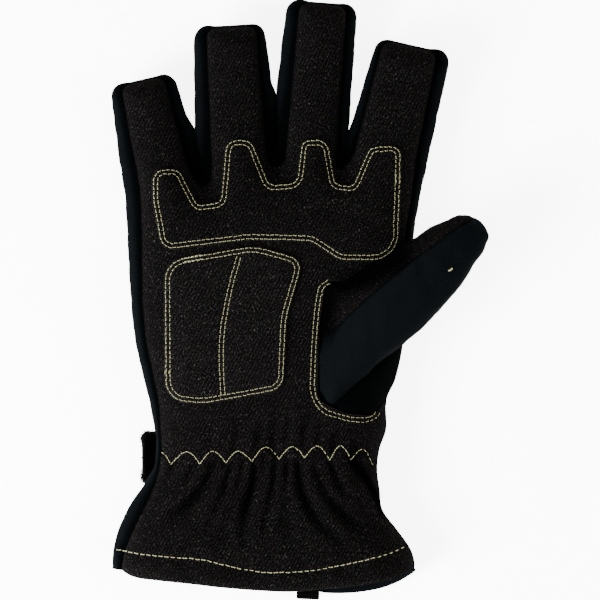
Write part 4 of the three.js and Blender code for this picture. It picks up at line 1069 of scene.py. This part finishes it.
def thumb_rings(s):
    """The thumb's rings at places s along it, 0 to 9 for the table's rows, straight on below 0, and from 9
    to 10 a dome that closes on the tip: centre, direction across, half width, half height, squareness."""
    table_s = np.clip(s, 0, 9)
    values = np.stack([along(THUMB, c, table_s) for c in range(1, 8)], -1)
    below = np.minimum(s, 0)[:, None] * (THUMB[1, 1:] - THUMB[0, 1:]) * np.array([1, 1, 1, 1, 0.4, 0, 0])
    values = values + below
    up, down, high, low, square = values[:, 0:2], values[:, 2:4], values[:, 4], values[:, 5], values[:, 6]
    across = up - down
    half = np.hypot(*across.T) / 2
    across = across / (2 * half[:, None])
    centre = np.column_stack([(up + down) / 2, (high + low) / 2])
    w = np.clip(s - 9, 0, 1)
    shrink = np.sqrt(np.maximum((1 - w) * (1 + 0.53 * w), 0))
    centre = mix(centre, THUMB_TIP, w[:, None])
    return centre, across, half * shrink, (high - low) / 2 * shrink, square


def thumb_point(s, angle, grow=0.0):
    """Points of the thumb's skin: on each ring a squarish oval, turned by the angle from the upper edge."""
    centre, across, half, rise, square = thumb_rings(s.ravel())
    c, k = np.cos(angle).reshape(len(centre), -1), np.sin(angle).reshape(len(centre), -1)
    power = 2 / square[:, None]
    wide = squarish(c, power) * (half + grow * np.clip(half / 6, 0, 1))[:, None]
    tall = squarish(k, power) * (rise + grow * np.clip(rise / 5, 0, 1))[:, None]
    return off_line(centre, across, wide, centre[:, 2:3] + tall)


def nearest_ring(x, y):
    """For places seen from above, the thumb's ring whose line passes through each: the place's share of the
    ring's half width, and the ring's middle height, half height, squareness, half width, and how far off
    its line the place is."""
    centre, across, half, rise, square = thumb_rings(np.linspace(-0.9, 9.95, 220))
    dx, dy = x[:, None] - centre[:, 0], y[:, None] - centre[:, 1]
    beyond = dx * -across[:, 1] + dy * across[:, 0]
    i = np.argmin(np.abs(beyond) + 0.02 * np.abs(dx * across[:, 0] + dy * across[:, 1]), axis=1)
    rows = np.arange(len(x))
    wide = np.abs(dx[rows, i] * across[i, 0] + dy[rows, i] * across[i, 1]) / half[i]
    return wide, centre[i, 2], rise[i], square[i], half[i], np.abs(beyond[rows, i])


def in_thumb(x, y, z):
    """About how deep places lie inside the thumb, in millimetres, by comparison with the nearest ring's
    oval."""
    wide, middle, rise, square, half, off = nearest_ring(x, y)
    size = (wide ** square + (np.abs(z - middle) / rise) ** square) ** (1 / square)
    return np.where(off > 1.0, -9.0, (1 - size) * np.minimum(half, rise))


def thumb_top(x, y):
    """The height of the thumb's upper side at places on it."""
    wide, middle, rise, square, _, _ = nearest_ring(x, y)
    return middle + rise * np.maximum(1 - wide ** square, 0) ** (1 / square)


strip_stop = int(np.argmax((np.arange(len(OUTLINE)) > TIPS[3]) & (OUTLINE[:, 1] < STRIP_END_Y)))
for name, node, start, end, closed_below in (
    ("little_side_strip", "side_panel_little", 0, TIPS[0] + 1, None),
    ("little_ring_strip", "fourchette_little_ring", TIPS[0], TIPS[1] + 1, 72),
    ("ring_middle_strip", "fourchette_ring_middle", TIPS[1], TIPS[2] + 1, 88),
    ("middle_index_strip", "fourchette_middle_index", TIPS[2], TIPS[3] + 1, 70),
    ("index_side_strip", "side_panel_index", TIPS[3], strip_stop, None),
):
    side_strip(name, node, start, end, closed_below)

s = np.r_[np.linspace(-0.9, 0.9, 26), np.linspace(1.0, 9, 118), 9 + np.sin(np.linspace(0, np.pi / 2, 14)[1:])]
s[-1] = 10 - 1e-4
around = np.linspace(0, 2 * np.pi, 721)
ring_points = thumb_point(s, np.broadcast_to(around, (len(s), len(around))))
beside = (ring_points - SEAM_FROM) @ SEAM_ACROSS


def crossing_angles():
    """Where the seam's plane crosses each ring, above and below, by the change of side between two of its
    points; past the end of the seam both are the ring's nearest point to the plane."""
    upper, lower = np.empty(len(s)), np.empty(len(s))
    for i, side in enumerate(beside):
        nearest = np.argmax(side)
        if side[nearest] <= 0:
            upper[i] = lower[i] = np.nan
            continue
        rolled = np.roll(side[:-1], -nearest)
        first, last = np.argmax(rolled < 0), len(rolled) - 1 - np.argmax(rolled[::-1] < 0)
        step = around[1]
        upper[i] = around[nearest] + (first - rolled[first] / (rolled[first] - rolled[first - 1])) * step
        following = rolled[(last + 1) % len(rolled)]
        lower[i] = around[nearest] + (last - rolled[last] / (rolled[last] - following)) * step - 2 * np.pi
    return upper, lower


upper, lower = crossing_angles()
upper, lower = (np.where(v > np.pi, v - 2 * np.pi, v) for v in (upper, lower))
ends_at = int(np.argmax(np.isnan(upper))) if np.isnan(upper).any() else len(s)
meet = (upper[ends_at - 1] + lower[ends_at - 1]) / 2 if ends_at < len(s) else 0.0
upper[ends_at:], lower[ends_at:] = meet, meet


def thumb_piece(name, node, finish, slot, begin, end, count, seed):
    """One of the thumb's cloths, between two angles of each ring, with its edges rolled into the seams and
    its root tucked under the palm fabric; what would lie inside the hand is left out."""
    share = np.r_[0, 0.012, 0.03, 0.055, np.linspace(0.085, 0.915, count), 0.945, 0.97, 0.988, 1]
    at = s[:len(begin)]
    angle = begin[:, None] + (end - begin)[:, None] * share
    base = thumb_point(at, angle)
    normal = unit(np.cross(np.gradient(base, axis=0), np.gradient(base, axis=1)))
    outwards = np.sign((normal * (base - thumb_rings(at)[0][:, None])).sum(-1).mean())
    normal = normal * outwards
    steps = np.linalg.norm(np.diff(base, axis=1), axis=-1)
    arc = np.concatenate([np.zeros((len(begin), 1)), np.cumsum(steps, axis=1)], 1)
    from_seam = np.minimum(arc, arc[:, -1:] - arc)
    gone = np.cumsum(np.linalg.norm(np.diff(base, axis=0, prepend=base[:1]), axis=-1), axis=0)
    gone = np.broadcast_to(gone.mean(1, keepdims=True), arc.shape)
    seam = bell(from_seam, 1.0) * np.clip(arc[:, -1:] / 3, 0, 1)
    lump = 0.2 * ripple(gone, arc, 15, seed) + 0.07 * ripple(gone, arc, 5, seed + 1)
    lump += 0.16 * ripple(gone, 0 * arc, 6, seed + 2) * np.exp(-from_seam / 2.5)
    fade = smooth(0.0, 0.12, 1 - np.abs(at - 5) / 5.05)[:, None]
    outer = base + normal * (lump * fade - 0.75 * seam)[..., None]
    hole = in_hole(outer[..., 0], outer[..., 1])
    upper_half = smooth(-0.2, 0.4, (outer[..., 2] - 22) / 8)
    tuck = 1.35 * (1 - smooth(-0.5, 3.2, hole)) * upper_half * (at < 4)[:, None]
    inner = thumb_point(at, angle, -WALL * 0.8)
    outer[..., 2] -= tuck
    inner[..., 2] -= tuck
    x, y, z = outer.reshape(-1, 3).T
    inside, _, _ = to_seam(x, y)
    top, bottom = palm_form(x, y, inside), back_form(x, y, inside)
    in_opening = np.minimum(hole.ravel() + 3.0, z - top + 4.5)
    outside = np.maximum.reduce([z - top, bottom - z, -inside, in_opening])
    quads = grid_faces(np.arange(x.size).reshape(arc.shape))
    if outwards < 0:
        quads = quads[:, ::-1]
    quads = quads[(outside[quads] > -1.6).any(1)]
    cloth = np.stack([arc, gone], -1).reshape(-1, 2) * MM
    wear_and_highlight = np.exp(-from_seam / 1.3).ravel()
    # Painted shade: the cloth's colour is darkened along its seams, and the textured cloth also near its root,
    # where it lies under the palm's edge.
    under_palm = (1 - smooth(2, 11, hole)) * (1 - smooth(3.5, 5, at))[:, None]
    shade = 0.8 * bell(from_seam, 0.7) + (0.05 + under_palm if slot == "textured_fabric" else 0)
    made = wall_piece(
        name, outer.reshape(-1, 3), inner.reshape(-1, 3), [quads], cloth, wear_and_highlight, finish, slot, node,
        np.clip(shade, 0, 1).ravel(), sharp=60,
    )


front_rows = min(ends_at + 1, len(s))
thumb_piece(
    "thumb_front_fabric", "thumb_front", textured_cloth, "textured_fabric", lower[:front_rows],
    upper[:front_rows], 56, 31,
)
thumb_piece("thumb_back_fabric", "thumb_back", ribbed_cloth, "navy_knit", upper, lower + 2 * np.pi, 80, 41)


def off_gusset(x, y):
    """Positive outside the gusset: past the hand's outline or the hole's edge, or deep under the thumb."""
    return np.maximum(0.05 - to_seam(x, y)[0], -1.6 - in_hole(x, y))


gx, gy = np.meshgrid(np.linspace(5.5, 49.5, 76), np.linspace(-57, 8, 110))
gusset_quads = grid_faces(np.arange(gx.size).reshape(gx.shape))
gx, gy, *gusset_faces = cut_out(gx.ravel(), gy.ravel(), gusset_quads, off_gusset)
inside, nx, ny = to_seam(gx, gy)
inside = np.maximum(inside, 0)
tucked = 1.5 * (1 - smooth(-0.5, 3.0, in_hole(gx, gy)))
g_top = palm_form(gx, gy, inside) - tucked + 0.15 * ripple(gx, gy, 14, 51)
deep = in_thumb(gx, gy, g_top)
g_top = g_top - 0.9 * bell(np.minimum(deep, 0), 1.6)
keep = deep < 2.2
pull, deeper = set_in(inside)
under = np.minimum(palm_form(gx, gy, deeper, 1.0), g_top - 0.4)
# Painted shade: the whole gusset's colour is darkened evenly, at 0.9, for the shade it lies in under the
# thumb.
wall_piece(
    "thumb_gusset_fabric", np.column_stack([gx, gy, g_top]), shifted(gx, gy, under, nx, ny, pull, FAR),
    [f[keep[f].any(1)] for f in gusset_faces], unfolded(gx, gy, inside, nx, ny) * MM, np.exp(-inside / 1.4),
    navy_cloth, "navy_knit", "thumb_gusset", np.full(len(gx), 0.9),
)


# The reinforcement patches
# Two layers of the same textured cloth with a thin pad, laid on the palm and held by double rows of
# stitches: one under the finger roots with a lobe for each finger, one on the heel with a seam down it.
PATCH_EDGE = 1.9  # from the middle of the stitch rows to the patch's edge
PATCH_THICK = 1.8
PATCH_STEP = 0.62  # of the grid that a patch is cut out of
KNUCKLE_PATCH = np.array([
    [-66.0, 57.3, 4.2], [-56.1, 57.3, 3.4], [-47.4, 40.5, 4.2], [-34.7, 42.3, 4.6], [-32.4, 70.8, 4],
    [-23.0, 70.8, 4.4], [-14.7, 49.7, 5], [0, 51.1, 5.6], [2.3, 70.6, 2.4], [11.7, 70.8, 4], [15.2, 50.6, 4.2],
    [25.3, 49.2, 4.2], [33.1, 67.6, 4], [45.3, 68.1, 3.2], [43.6, 18.0, 10.5], [18.9, 18.2, 8], [5.5, 26.9, 9],
    [-23.0, 27.6, 40], [-61.9, 23.0, 4.6], [-65.8, 44.6, 14],
])
HEEL_PATCH = np.array([
    [-60.3, 15.2, 9], [-20.7, 22.1, 26], [0, 16.1, 4.6], [-7.4, -9.7, 40], [-8.7, -40.9, 6],
    [-43.7, -47.4, 30], [-60.0, -46.0, 9],
])
HEEL_MIDDLE = np.array([
    [-27.6, 18.6], [-30.8, 7.4], [-32.9, -2.1], [-34.7, -11.5], [-35.6, -20.2], [-35.7, -29.0],
    [-35.4, -37.9], [-34.8, -44.9],
])


class Patch:
    """A patch's outline of stitches, which way is inwards, and any seam across it."""

    def __init__(self, corners, seam=None):
        self.line = softened(rounded(corners), 3, closed=True)
        self.left = sideways(self.line, closed=True)
        middle = self.line[:-1]
        area = (middle[:, 0] * np.roll(middle[:, 1], -1) - np.roll(middle[:, 0], -1) * middle[:, 1]).sum()
        self.sign = 1 if area > 0 else -1
        self.seam = None if seam is None else softened(resample(seam, 0.5)[0], 4)

    def depth(self, x, y):
        """Distance inside the stitch line, and the way gone along it."""
        away, _, _, gone = near(x, y, self.line, self.left)
        return away * self.sign, gone

    def edge(self, x, y):
        """Distance inside the patch's edge."""
        return self.depth(x, y)[0] + PATCH_EDGE

    def ground(self, x, y):
        """The palm's surface under the patch."""
        return palm_form(x, y, to_seam(x, y)[0]) + 0.16 * ripple(x, y, 17, 1)

    def top(self, x, y):
        """The patch's surface: on the palm's form, rounded at its edge, pressed in along its stitches and
        a little padded between them."""
        away, gone = self.depth(x, y)
        rim = np.clip((away + PATCH_EDGE) / 1.2, 0, 1)
        z = self.ground(x, y) + 0.15 + PATCH_THICK * np.sqrt(1 - (1 - rim) ** 2)
        z = z - rows_pressed(away, gone, 0.5)
        puff = smooth(1.5, 8.0, away)
        if self.seam is not None:
            across, way = from_line(x, y, self.seam)
            z = z - rows_pressed(across, way, 0.5) * smooth(0, 1.5, away)
            puff = puff * smooth(1.5, 8.0, np.abs(across))
        z = z + 0.45 * puff + (0.05 + 0.12 * puff) * ripple(x, y, 12, 21) + 0.05 * ripple(x, y, 4.5, 22)
        return z + 0.12 * bell(away - 3, 2.2) * np.sin(2 * np.pi * gone / 6.3 + 2 * np.sin(gone / 9))

    def build(self, name, node, finish):
        """The patch as a wall from the palm up, cut out of a square grid, without what the thumb covers."""
        low, high = self.line.min(0) - 3, self.line.max(0) + 3
        x, y = np.meshgrid(*(np.arange(low[i], high[i], PATCH_STEP) for i in (0, 1)))
        quads = grid_faces(np.arange(x.size).reshape(x.shape))
        x, y, *faces = cut_out(x.ravel(), y.ravel(), quads, lambda a, b: -self.edge(a, b))
        used = np.unique(np.concatenate([f.ravel() for f in faces]))
        z, keep = np.zeros(x.size), np.ones(x.size, bool)
        z[used] = self.top(x[used], y[used])
        keep[used] = in_thumb(x[used], y[used], z[used]) < 1.0
        inside, nx, ny = to_seam(x, y)
        under = np.minimum(self.ground(x, y) - 0.05, z - 0.1)
        points, faces, _ = shell(
            np.column_stack([x, y, z]), np.column_stack([x, y, under]), [f[keep[f].any(1)] for f in faces],
        )
        cloth = unfolded(x, y, inside, nx, ny) * MM + (0.013, 0.007)
        wear_and_highlight = np.clip(np.exp(-self.edge(x, y) / 0.9), 0, 1)
        made = make_piece(
            name, points, faces, np.vstack([cloth, cloth]), np.r_[wear_and_highlight, wear_and_highlight], [finish], "textured_fabric",
            node,
        )


knuckle, heel = Patch(KNUCKLE_PATCH), Patch(HEEL_PATCH, HEEL_MIDDLE)
knuckle.build("knuckle_patch", "knuckle_pad", textured_cloth)
heel.build("heel_patch", "heel_pad", rubbed_cloth)


# The sewing thread
# Pale straw-coloured thread: double rows round the patches and the thumb opening, a row along the hem, a
# zigzag over the wrist's elastic and a bar on the thumb. Each stitch dips into the cloth at both ends.
THREAD = 0.16  # radius of the thread
TWIST_PITCH = 0.0012
STITCH = 1.72  # length of a stitch in the double rows
ALONG, ROUND = 7, 6  # points along and round a stitch
UNEVEN = dict(along=0.12, aside=0.06, turned=0.09)  # how far hand-guided stitches stray


def thread_colours(tree, place, wear_and_highlight):
    """Twisted plies: slanting dark lines round the thread, and a little soil."""
    plies = wave_of(tree, place, np.radians(40), TWIST_PITCH)
    soil = noise(tree, put(tree, "TexCoord").outputs["Object"], 160.0, 3.0)
    tint = blend(tree, (0.062, 0.061, 0.032), (0.25, 0.245, 0.138), plies)
    return blend(tree, (0.09, 0.082, 0.04), tint, spread(tree, soil, 0.25, 0.55, 0.45)), plies, 0.5, 0.0001


thread_finish = cloth_finish("sewing_thread", (0.5, 0.47, 0.23), 0.6, 0.012, thread_colours)


def stitches(name, rows, surface, seed, pitch=NEEDLE_PITCH, length=STITCH, radius=THREAD, arch=0.26):
    """Rows of stitches as closed capsules: each row is a line, cut at even steps into stitches; each
    stitch's middle line arches over the cloth and dips into it at both ends."""
    draw = np.random.default_rng(seed)
    t = np.linspace(0, 1, ALONG)
    paths = []
    for row in rows:
        line, gone = resample(row, 0.25)
        count = int(gone[-1] / pitch)
        first = (np.arange(count) + 0.5) * gone[-1] / count - length / 2
        first = first + draw.uniform(-UNEVEN["along"], UNEVEN["along"], count)
        at = first[:, None] + length * t
        shift = draw.normal(0, UNEVEN["aside"], count)[:, None]
        shift = shift + draw.normal(0, UNEVEN["turned"], count)[:, None] * np.linspace(-1, 1, ALONG)
        paths.append(placed(at, gone, line) + shift[..., None] * placed(at, gone, sideways(line)))
    path = np.concatenate(paths)
    z = surface(path[..., 0].ravel(), path[..., 1].ravel()).reshape(path.shape[:2])
    z = z.mean(1, keepdims=True) * 0.5 + z * 0.5
    z = z + radius * 0.4
    z = z + arch * (np.sin(np.pi * t) ** 0.6 - 0.55) * draw.uniform(0.8, 1.15, (len(path), 1))
    onward = unit(np.gradient(path, axis=1))
    left = np.stack([-onward[..., 1], onward[..., 0]], -1)
    angle = np.linspace(0, 2 * np.pi, ROUND + 1)[:-1]
    size = radius * np.sqrt(np.maximum(1 - (2 * t - 1) ** 6, 0.12))[None, :, None]
    points = off_line(path, left, size * np.cos(angle), z[..., None] + size * np.sin(angle))
    each = np.arange(ALONG * ROUND).reshape(ALONG, ROUND)
    ring = grid_faces(np.hstack([each, each[:, :1]]))[:, ::-1]
    caps = np.vstack([each[0], each[-1][::-1]])
    offset = (np.arange(len(path)) * each.size)[:, None, None]
    faces = [(ring[None] + offset).reshape(-1, 4), (caps[None] + offset).reshape(-1, ROUND)]
    cloth = np.stack(np.broadcast_arrays(t[:, None] * length, angle * radius), -1).reshape(-1, 2) * MM
    cloth = np.tile(cloth, (len(path), 1))
    make_piece(
        name, points.reshape(-1, 3), faces, cloth, np.zeros(len(cloth)), [thread_finish], "textured_fabric",
        sharp=80,
    )


def double(line, closed=False):
    """The two rows on both sides of a line."""
    side = sideways(line, closed) * ROW_OFFSET
    return [line + side, line - side]


stitches("knuckle_stitches", double(knuckle.line, True), knuckle.top, 61)
stitches("heel_stitches", double(heel.line, True) + double(heel.seam), heel.top, 62)
stitches("thumb_stitches", double(thumb_line), palm_top, 63)
stitches("wrist_zigzag", [zigzag_line], palm_top, 64, 2.3, 2.28)
stitches("hem_stitches", [hem_line], palm_top, 65, HEM_PITCH, 2.45, 0.22)


def sewn_over(patch, x, y, length, shift):
    """A short run of a patch's double row that was sewn twice, from the point nearest to a place, beside
    the first stitches."""
    start = from_line(np.array([x]), np.array([y]), patch.line)[1][0]
    points, gone = resample(patch.line, 0.25)
    run = points[(gone > start) & (gone < start + length)]
    return [run + sideways(run) * (ROW_OFFSET + shift), run - sideways(run) * (ROW_OFFSET - shift)]


heel_runs = sewn_over(heel, -53.0, 17.5, 9.0, 0.3) + sewn_over(heel, -60.5, -36.0, 3.5, 0.35)
knuckle_runs = sewn_over(knuckle, 45.0, 56.5, 5.0, 0.3)
stitches("heel_overlap", heel_runs, lambda x, y: heel.top(x, y) + 0.15, 66, 1.7, 1.6)
stitches("knuckle_overlap", knuckle_runs, lambda x, y: knuckle.top(x, y) + 0.15, 67, 1.7, 1.6)

# The bar tack: a few stitches side by side over a short slanting line
tack_t = np.linspace(0, 1, 9)[:, None]
tack_middle = np.array([67.2, 11.6]) * (1 - tack_t) + np.array([70.2, 13.4]) * tack_t
tack_side = np.array([[-0.24, 0.42]]) * (0.6 + 0.5 * np.sin(np.pi * tack_t))
bars = [np.array([a, b]) for a, b in zip(tack_middle - tack_side, tack_middle + tack_side)]
stitches("thumb_bar_tack", bars, thumb_top, 68, 0.8, 1.0, 0.2)


# The wrist strap
# A hook-and-loop strap, sewn across the back of the wrist. Its free end comes out past the little finger's
# side and turns up; its face is a pile of small loops, and its edge is a thin welded rim.
STRAP = dict(width=24.0, thick=2.6, end=-72.8, start=24.0, middle=-74.3, corner=3.0, lift=6.5, length=14.0)
FUZZY_ROWS, FIBRES, FIBRE = 62, 5200, 0.09  # rows of the strap's grid with fuzz, number and radius of fibres


def pile(tree, place, wear_and_highlight):
    """Loop pile: matted black fuzz, with a paler painted highlight along the rim."""
    spots = noise(tree, place, 1100.0, 4.0, 0.7)
    matted, rim = maths(tree, "POWER", spots, 2.0), maths(tree, "POWER", wear_and_highlight, 2.0)
    tint = blend(tree, (0.00004, 0.00004, 0.00005), (0.0016, 0.0016, 0.0018), matted)
    return blend(tree, tint, (0.016, 0.016, 0.017), rim, spots), spots, 1.0, 0.0007


pile_finish = cloth_finish("loop_pile", (0.01, 0.01, 0.01), 1.0, 0.003, pile)


def strap_lift(x):
    """How far the strap is off the ground: its free end turns up by a power curve."""
    t = np.clip((x - STRAP["end"]) / STRAP["length"], 0, 1)
    return STRAP["lift"] * (1 - t) ** 1.6


def bar(points):
    """The points of a grid round a bar, its side faces and its two end faces."""
    index = np.arange(points[..., 0].size).reshape(points.shape[:2])
    sides, ends = grid_faces(np.hstack([index, index[:, :1]])), np.vstack([index[0][::-1], index[-1]])
    return points.reshape(-1, 3), [sides, ends]


n_round = 48
r = STRAP["corner"]
end_x = STRAP["end"] + r * (1 - np.cos(np.linspace(0, np.pi / 2, 9)))
x = np.r_[end_x, np.linspace(STRAP["end"] + r + 0.5, STRAP["start"], 130)][:, None]
from_end = x - STRAP["end"]
half = STRAP["width"] / 2 - r + np.sqrt(np.maximum(r ** 2 - (r - np.minimum(from_end, r)) ** 2, 0.02))
a = np.linspace(0, 2 * np.pi, n_round + 1)[:-1]
wide, tall = squarish(np.cos(a), 0.25), squarish(np.sin(a), 0.6)
thick = STRAP["thick"] / 2 * np.sqrt(np.clip(1 - (1 - np.minimum(from_end, 1.2) / 1.2) ** 2, 0.08, 1))
fuzz = 0.12 * ripple(x, wide * 12, 2.6, 71) + 0.08 * ripple(x, wide * 12, 1.1, 72)
ragged = 0.2 * ripple(x + 9 * wide, 9 * tall, 3.1, 74) * (1 - smooth(12, 20, from_end))
mid_z = strap_lift(x) + STRAP["thick"] / 2
points = np.stack([
    x + ragged * (from_end < 1.5),
    STRAP["middle"] + half * wide + ragged * np.abs(wide) ** 6,
    mid_z + thick * tall * (1 + fuzz * (tall > 0)),
], -1)
round_it = np.cumsum(np.abs(np.diff(wide * 12, prepend=12)) + np.abs(np.diff(tall, prepend=0)))
cloth = np.stack(np.broadcast_arrays(x, round_it), -1)
# Painted highlight: the band's colour is paler along its side edges and at its free end, where light catches
# the pile.
wear_and_highlight = np.clip(np.abs(wide) ** 8 + np.exp(-from_end / 1.0), 0, 1)
make_piece(
    "strap_band", *bar(points), cloth.reshape(-1, 2) * MM, wear_and_highlight.ravel(), [pile_finish], "black_webbing",
    "wrist_strap",
)

# Loose loops of the pile, as short tapering fibres that stand out all round the free end
draw = np.random.default_rng(73)
row = np.minimum((draw.uniform(0, 1, FIBRES) ** 1.3 * FUZZY_ROWS).astype(int), len(x) - 1)
column = draw.integers(0, n_round, FIBRES)
root = points[row, column]
aside = np.clip(root[:, 1] - STRAP["middle"], 1.5 - half[row, 0], half[row, 0] - 1.5)
middle = np.column_stack([x[row] + 1.5, STRAP["middle"] + aside, mid_z[row]])
onward = unit((root - middle) * (1, 1, 0.9)) + draw.normal(0, 0.45, (FIBRES, 3))
tip = root + onward * draw.uniform(0.4, 1.35, (FIBRES, 1))
tip[:, 2], root[:, 2] = np.maximum(tip[:, 2], 0.1), np.maximum(root[:, 2], 0.3)
across = unit(np.cross(onward, draw.normal(0, 1, (FIBRES, 3))))
other = np.cross(unit(onward), across)
base = root - 0.15 * onward
corners = [base + FIBRE * (across * np.cos(v) + other * np.sin(v)) for v in np.arange(3) * 2 * np.pi / 3]
fibres = np.stack([*corners, tip], 1).reshape(-1, 3)
sides = np.array([[0, 1, 3], [1, 2, 3], [2, 0, 3], [2, 1, 0]]) + np.arange(FIBRES)[:, None, None] * 4
fibre_cloth = np.repeat(cloth[row, column], 4, 0)
fibre_cloth = fibre_cloth + np.tile([[0, 0], [0.1, 0], [0, 0.1], [0.8, 0.8]], (FIBRES, 1))
# Painted highlight: each loose fibre is paler at its tip than at its root.
rubbed_and_highlit = np.tile([0.3, 0.3, 0.3, 1.0], FIBRES)
make_piece(
    "strap_fuzz", fibres, [sides.reshape(-1, 3)], fibre_cloth * MM, rubbed_and_highlit, [pile_finish], "black_webbing",
    sharp=180,
)


# The hem's pull tab
# A short piece of narrow woven tape, folded double and sewn inside the back's hem.
TAB = dict(width=10.6, length=14.2, tape=1.3, slot=0.5, skew=-0.04, x=3.9, end=-140.1, z=2.8)


def tape(tree, place, wear_and_highlight):
    """Woven tape: fine cross ribs."""
    rib = wave_of(tree, place, 0.0, 0.00075)
    tone = maths(tree, "MULTIPLY_ADD", napped(tree, place, wear_and_highlight)["Mask"], 0.5, rib)
    return blend(tree, (0.0001, 0.0001, 0.0001), (0.0012, 0.0012, 0.0013), tone), rib, 0.8, 0.0003


tape_finish = cloth_finish("woven_tape", (0.01, 0.01, 0.01), 0.8, 0.001, tape)
middle_r = (TAB["tape"] + TAB["slot"]) / 2
turn = np.linspace(np.pi / 2, 3 * np.pi / 2, 13)
fold_y = TAB["tape"] + TAB["slot"] / 2 - TAB["length"]
straight, flat = np.linspace(0, fold_y, 14)[:-1], np.full(13, middle_r)
path_y = np.r_[straight, fold_y + middle_r * np.cos(turn), straight[::-1]]
path_z = TAB["tape"] + TAB["slot"] / 2 + np.r_[flat, middle_r * np.sin(turn), -flat]
step_y, step_z = np.gradient(path_y), np.gradient(path_z)
long = np.hypot(step_y, step_z)
out_y, out_z = step_z / long, -step_y / long
a = np.linspace(0, 2 * np.pi, 29)[:-1]
wide, tall = squarish(np.cos(a), 0.3) * TAB["width"] / 2, squarish(np.sin(a), 0.5) * TAB["tape"] / 2
points = np.stack(np.broadcast_arrays(
    TAB["x"] + wide,
    path_y[:, None] + TAB["end"] + TAB["length"] + out_y[:, None] * tall + TAB["skew"] * wide,
    TAB["z"] + path_z[:, None] + out_z[:, None] * tall,
), -1)
cloth = np.stack(np.broadcast_arrays(np.cumsum(long)[:, None], wide), -1).reshape(-1, 2) * MM
wear_and_highlight = np.tile(np.abs(wide / TAB["width"] * 2) ** 10, len(long))
make_piece("hem_tab", *bar(points), cloth, wear_and_highlight, [tape_finish], "black_webbing", "pull_tab")


# The table
# A plain pale sheet of card under the glove.
floor_mesh = bpy.data.meshes.new("table")
floor_corners = [(4 * i, 4 * j, -0.4 * MM) for i, j in ((-1, -1), (1, -1), (1, 1), (-1, 1))]
floor_mesh.from_pydata(floor_corners, [], [(0, 1, 2, 3)])
floor_finish = bpy.data.materials.new("pale_card")
floor_finish.use_nodes = True
floor_shader = floor_finish.node_tree.nodes["Principled BSDF"]
floor_shader.inputs["Base Color"].default_value = (0.93, 0.93, 0.93, 1)
floor_shader.inputs["Roughness"].default_value = 0.9
floor_shader.inputs["Emission Color"].default_value = (1, 1, 1, 1)
floor_shader.inputs["Emission Strength"].default_value = 6.0
floor_mesh.materials.append(floor_finish)
floor = bpy.data.objects.new("table", floor_mesh)
bpy.context.scene.collection.objects.link(floor)
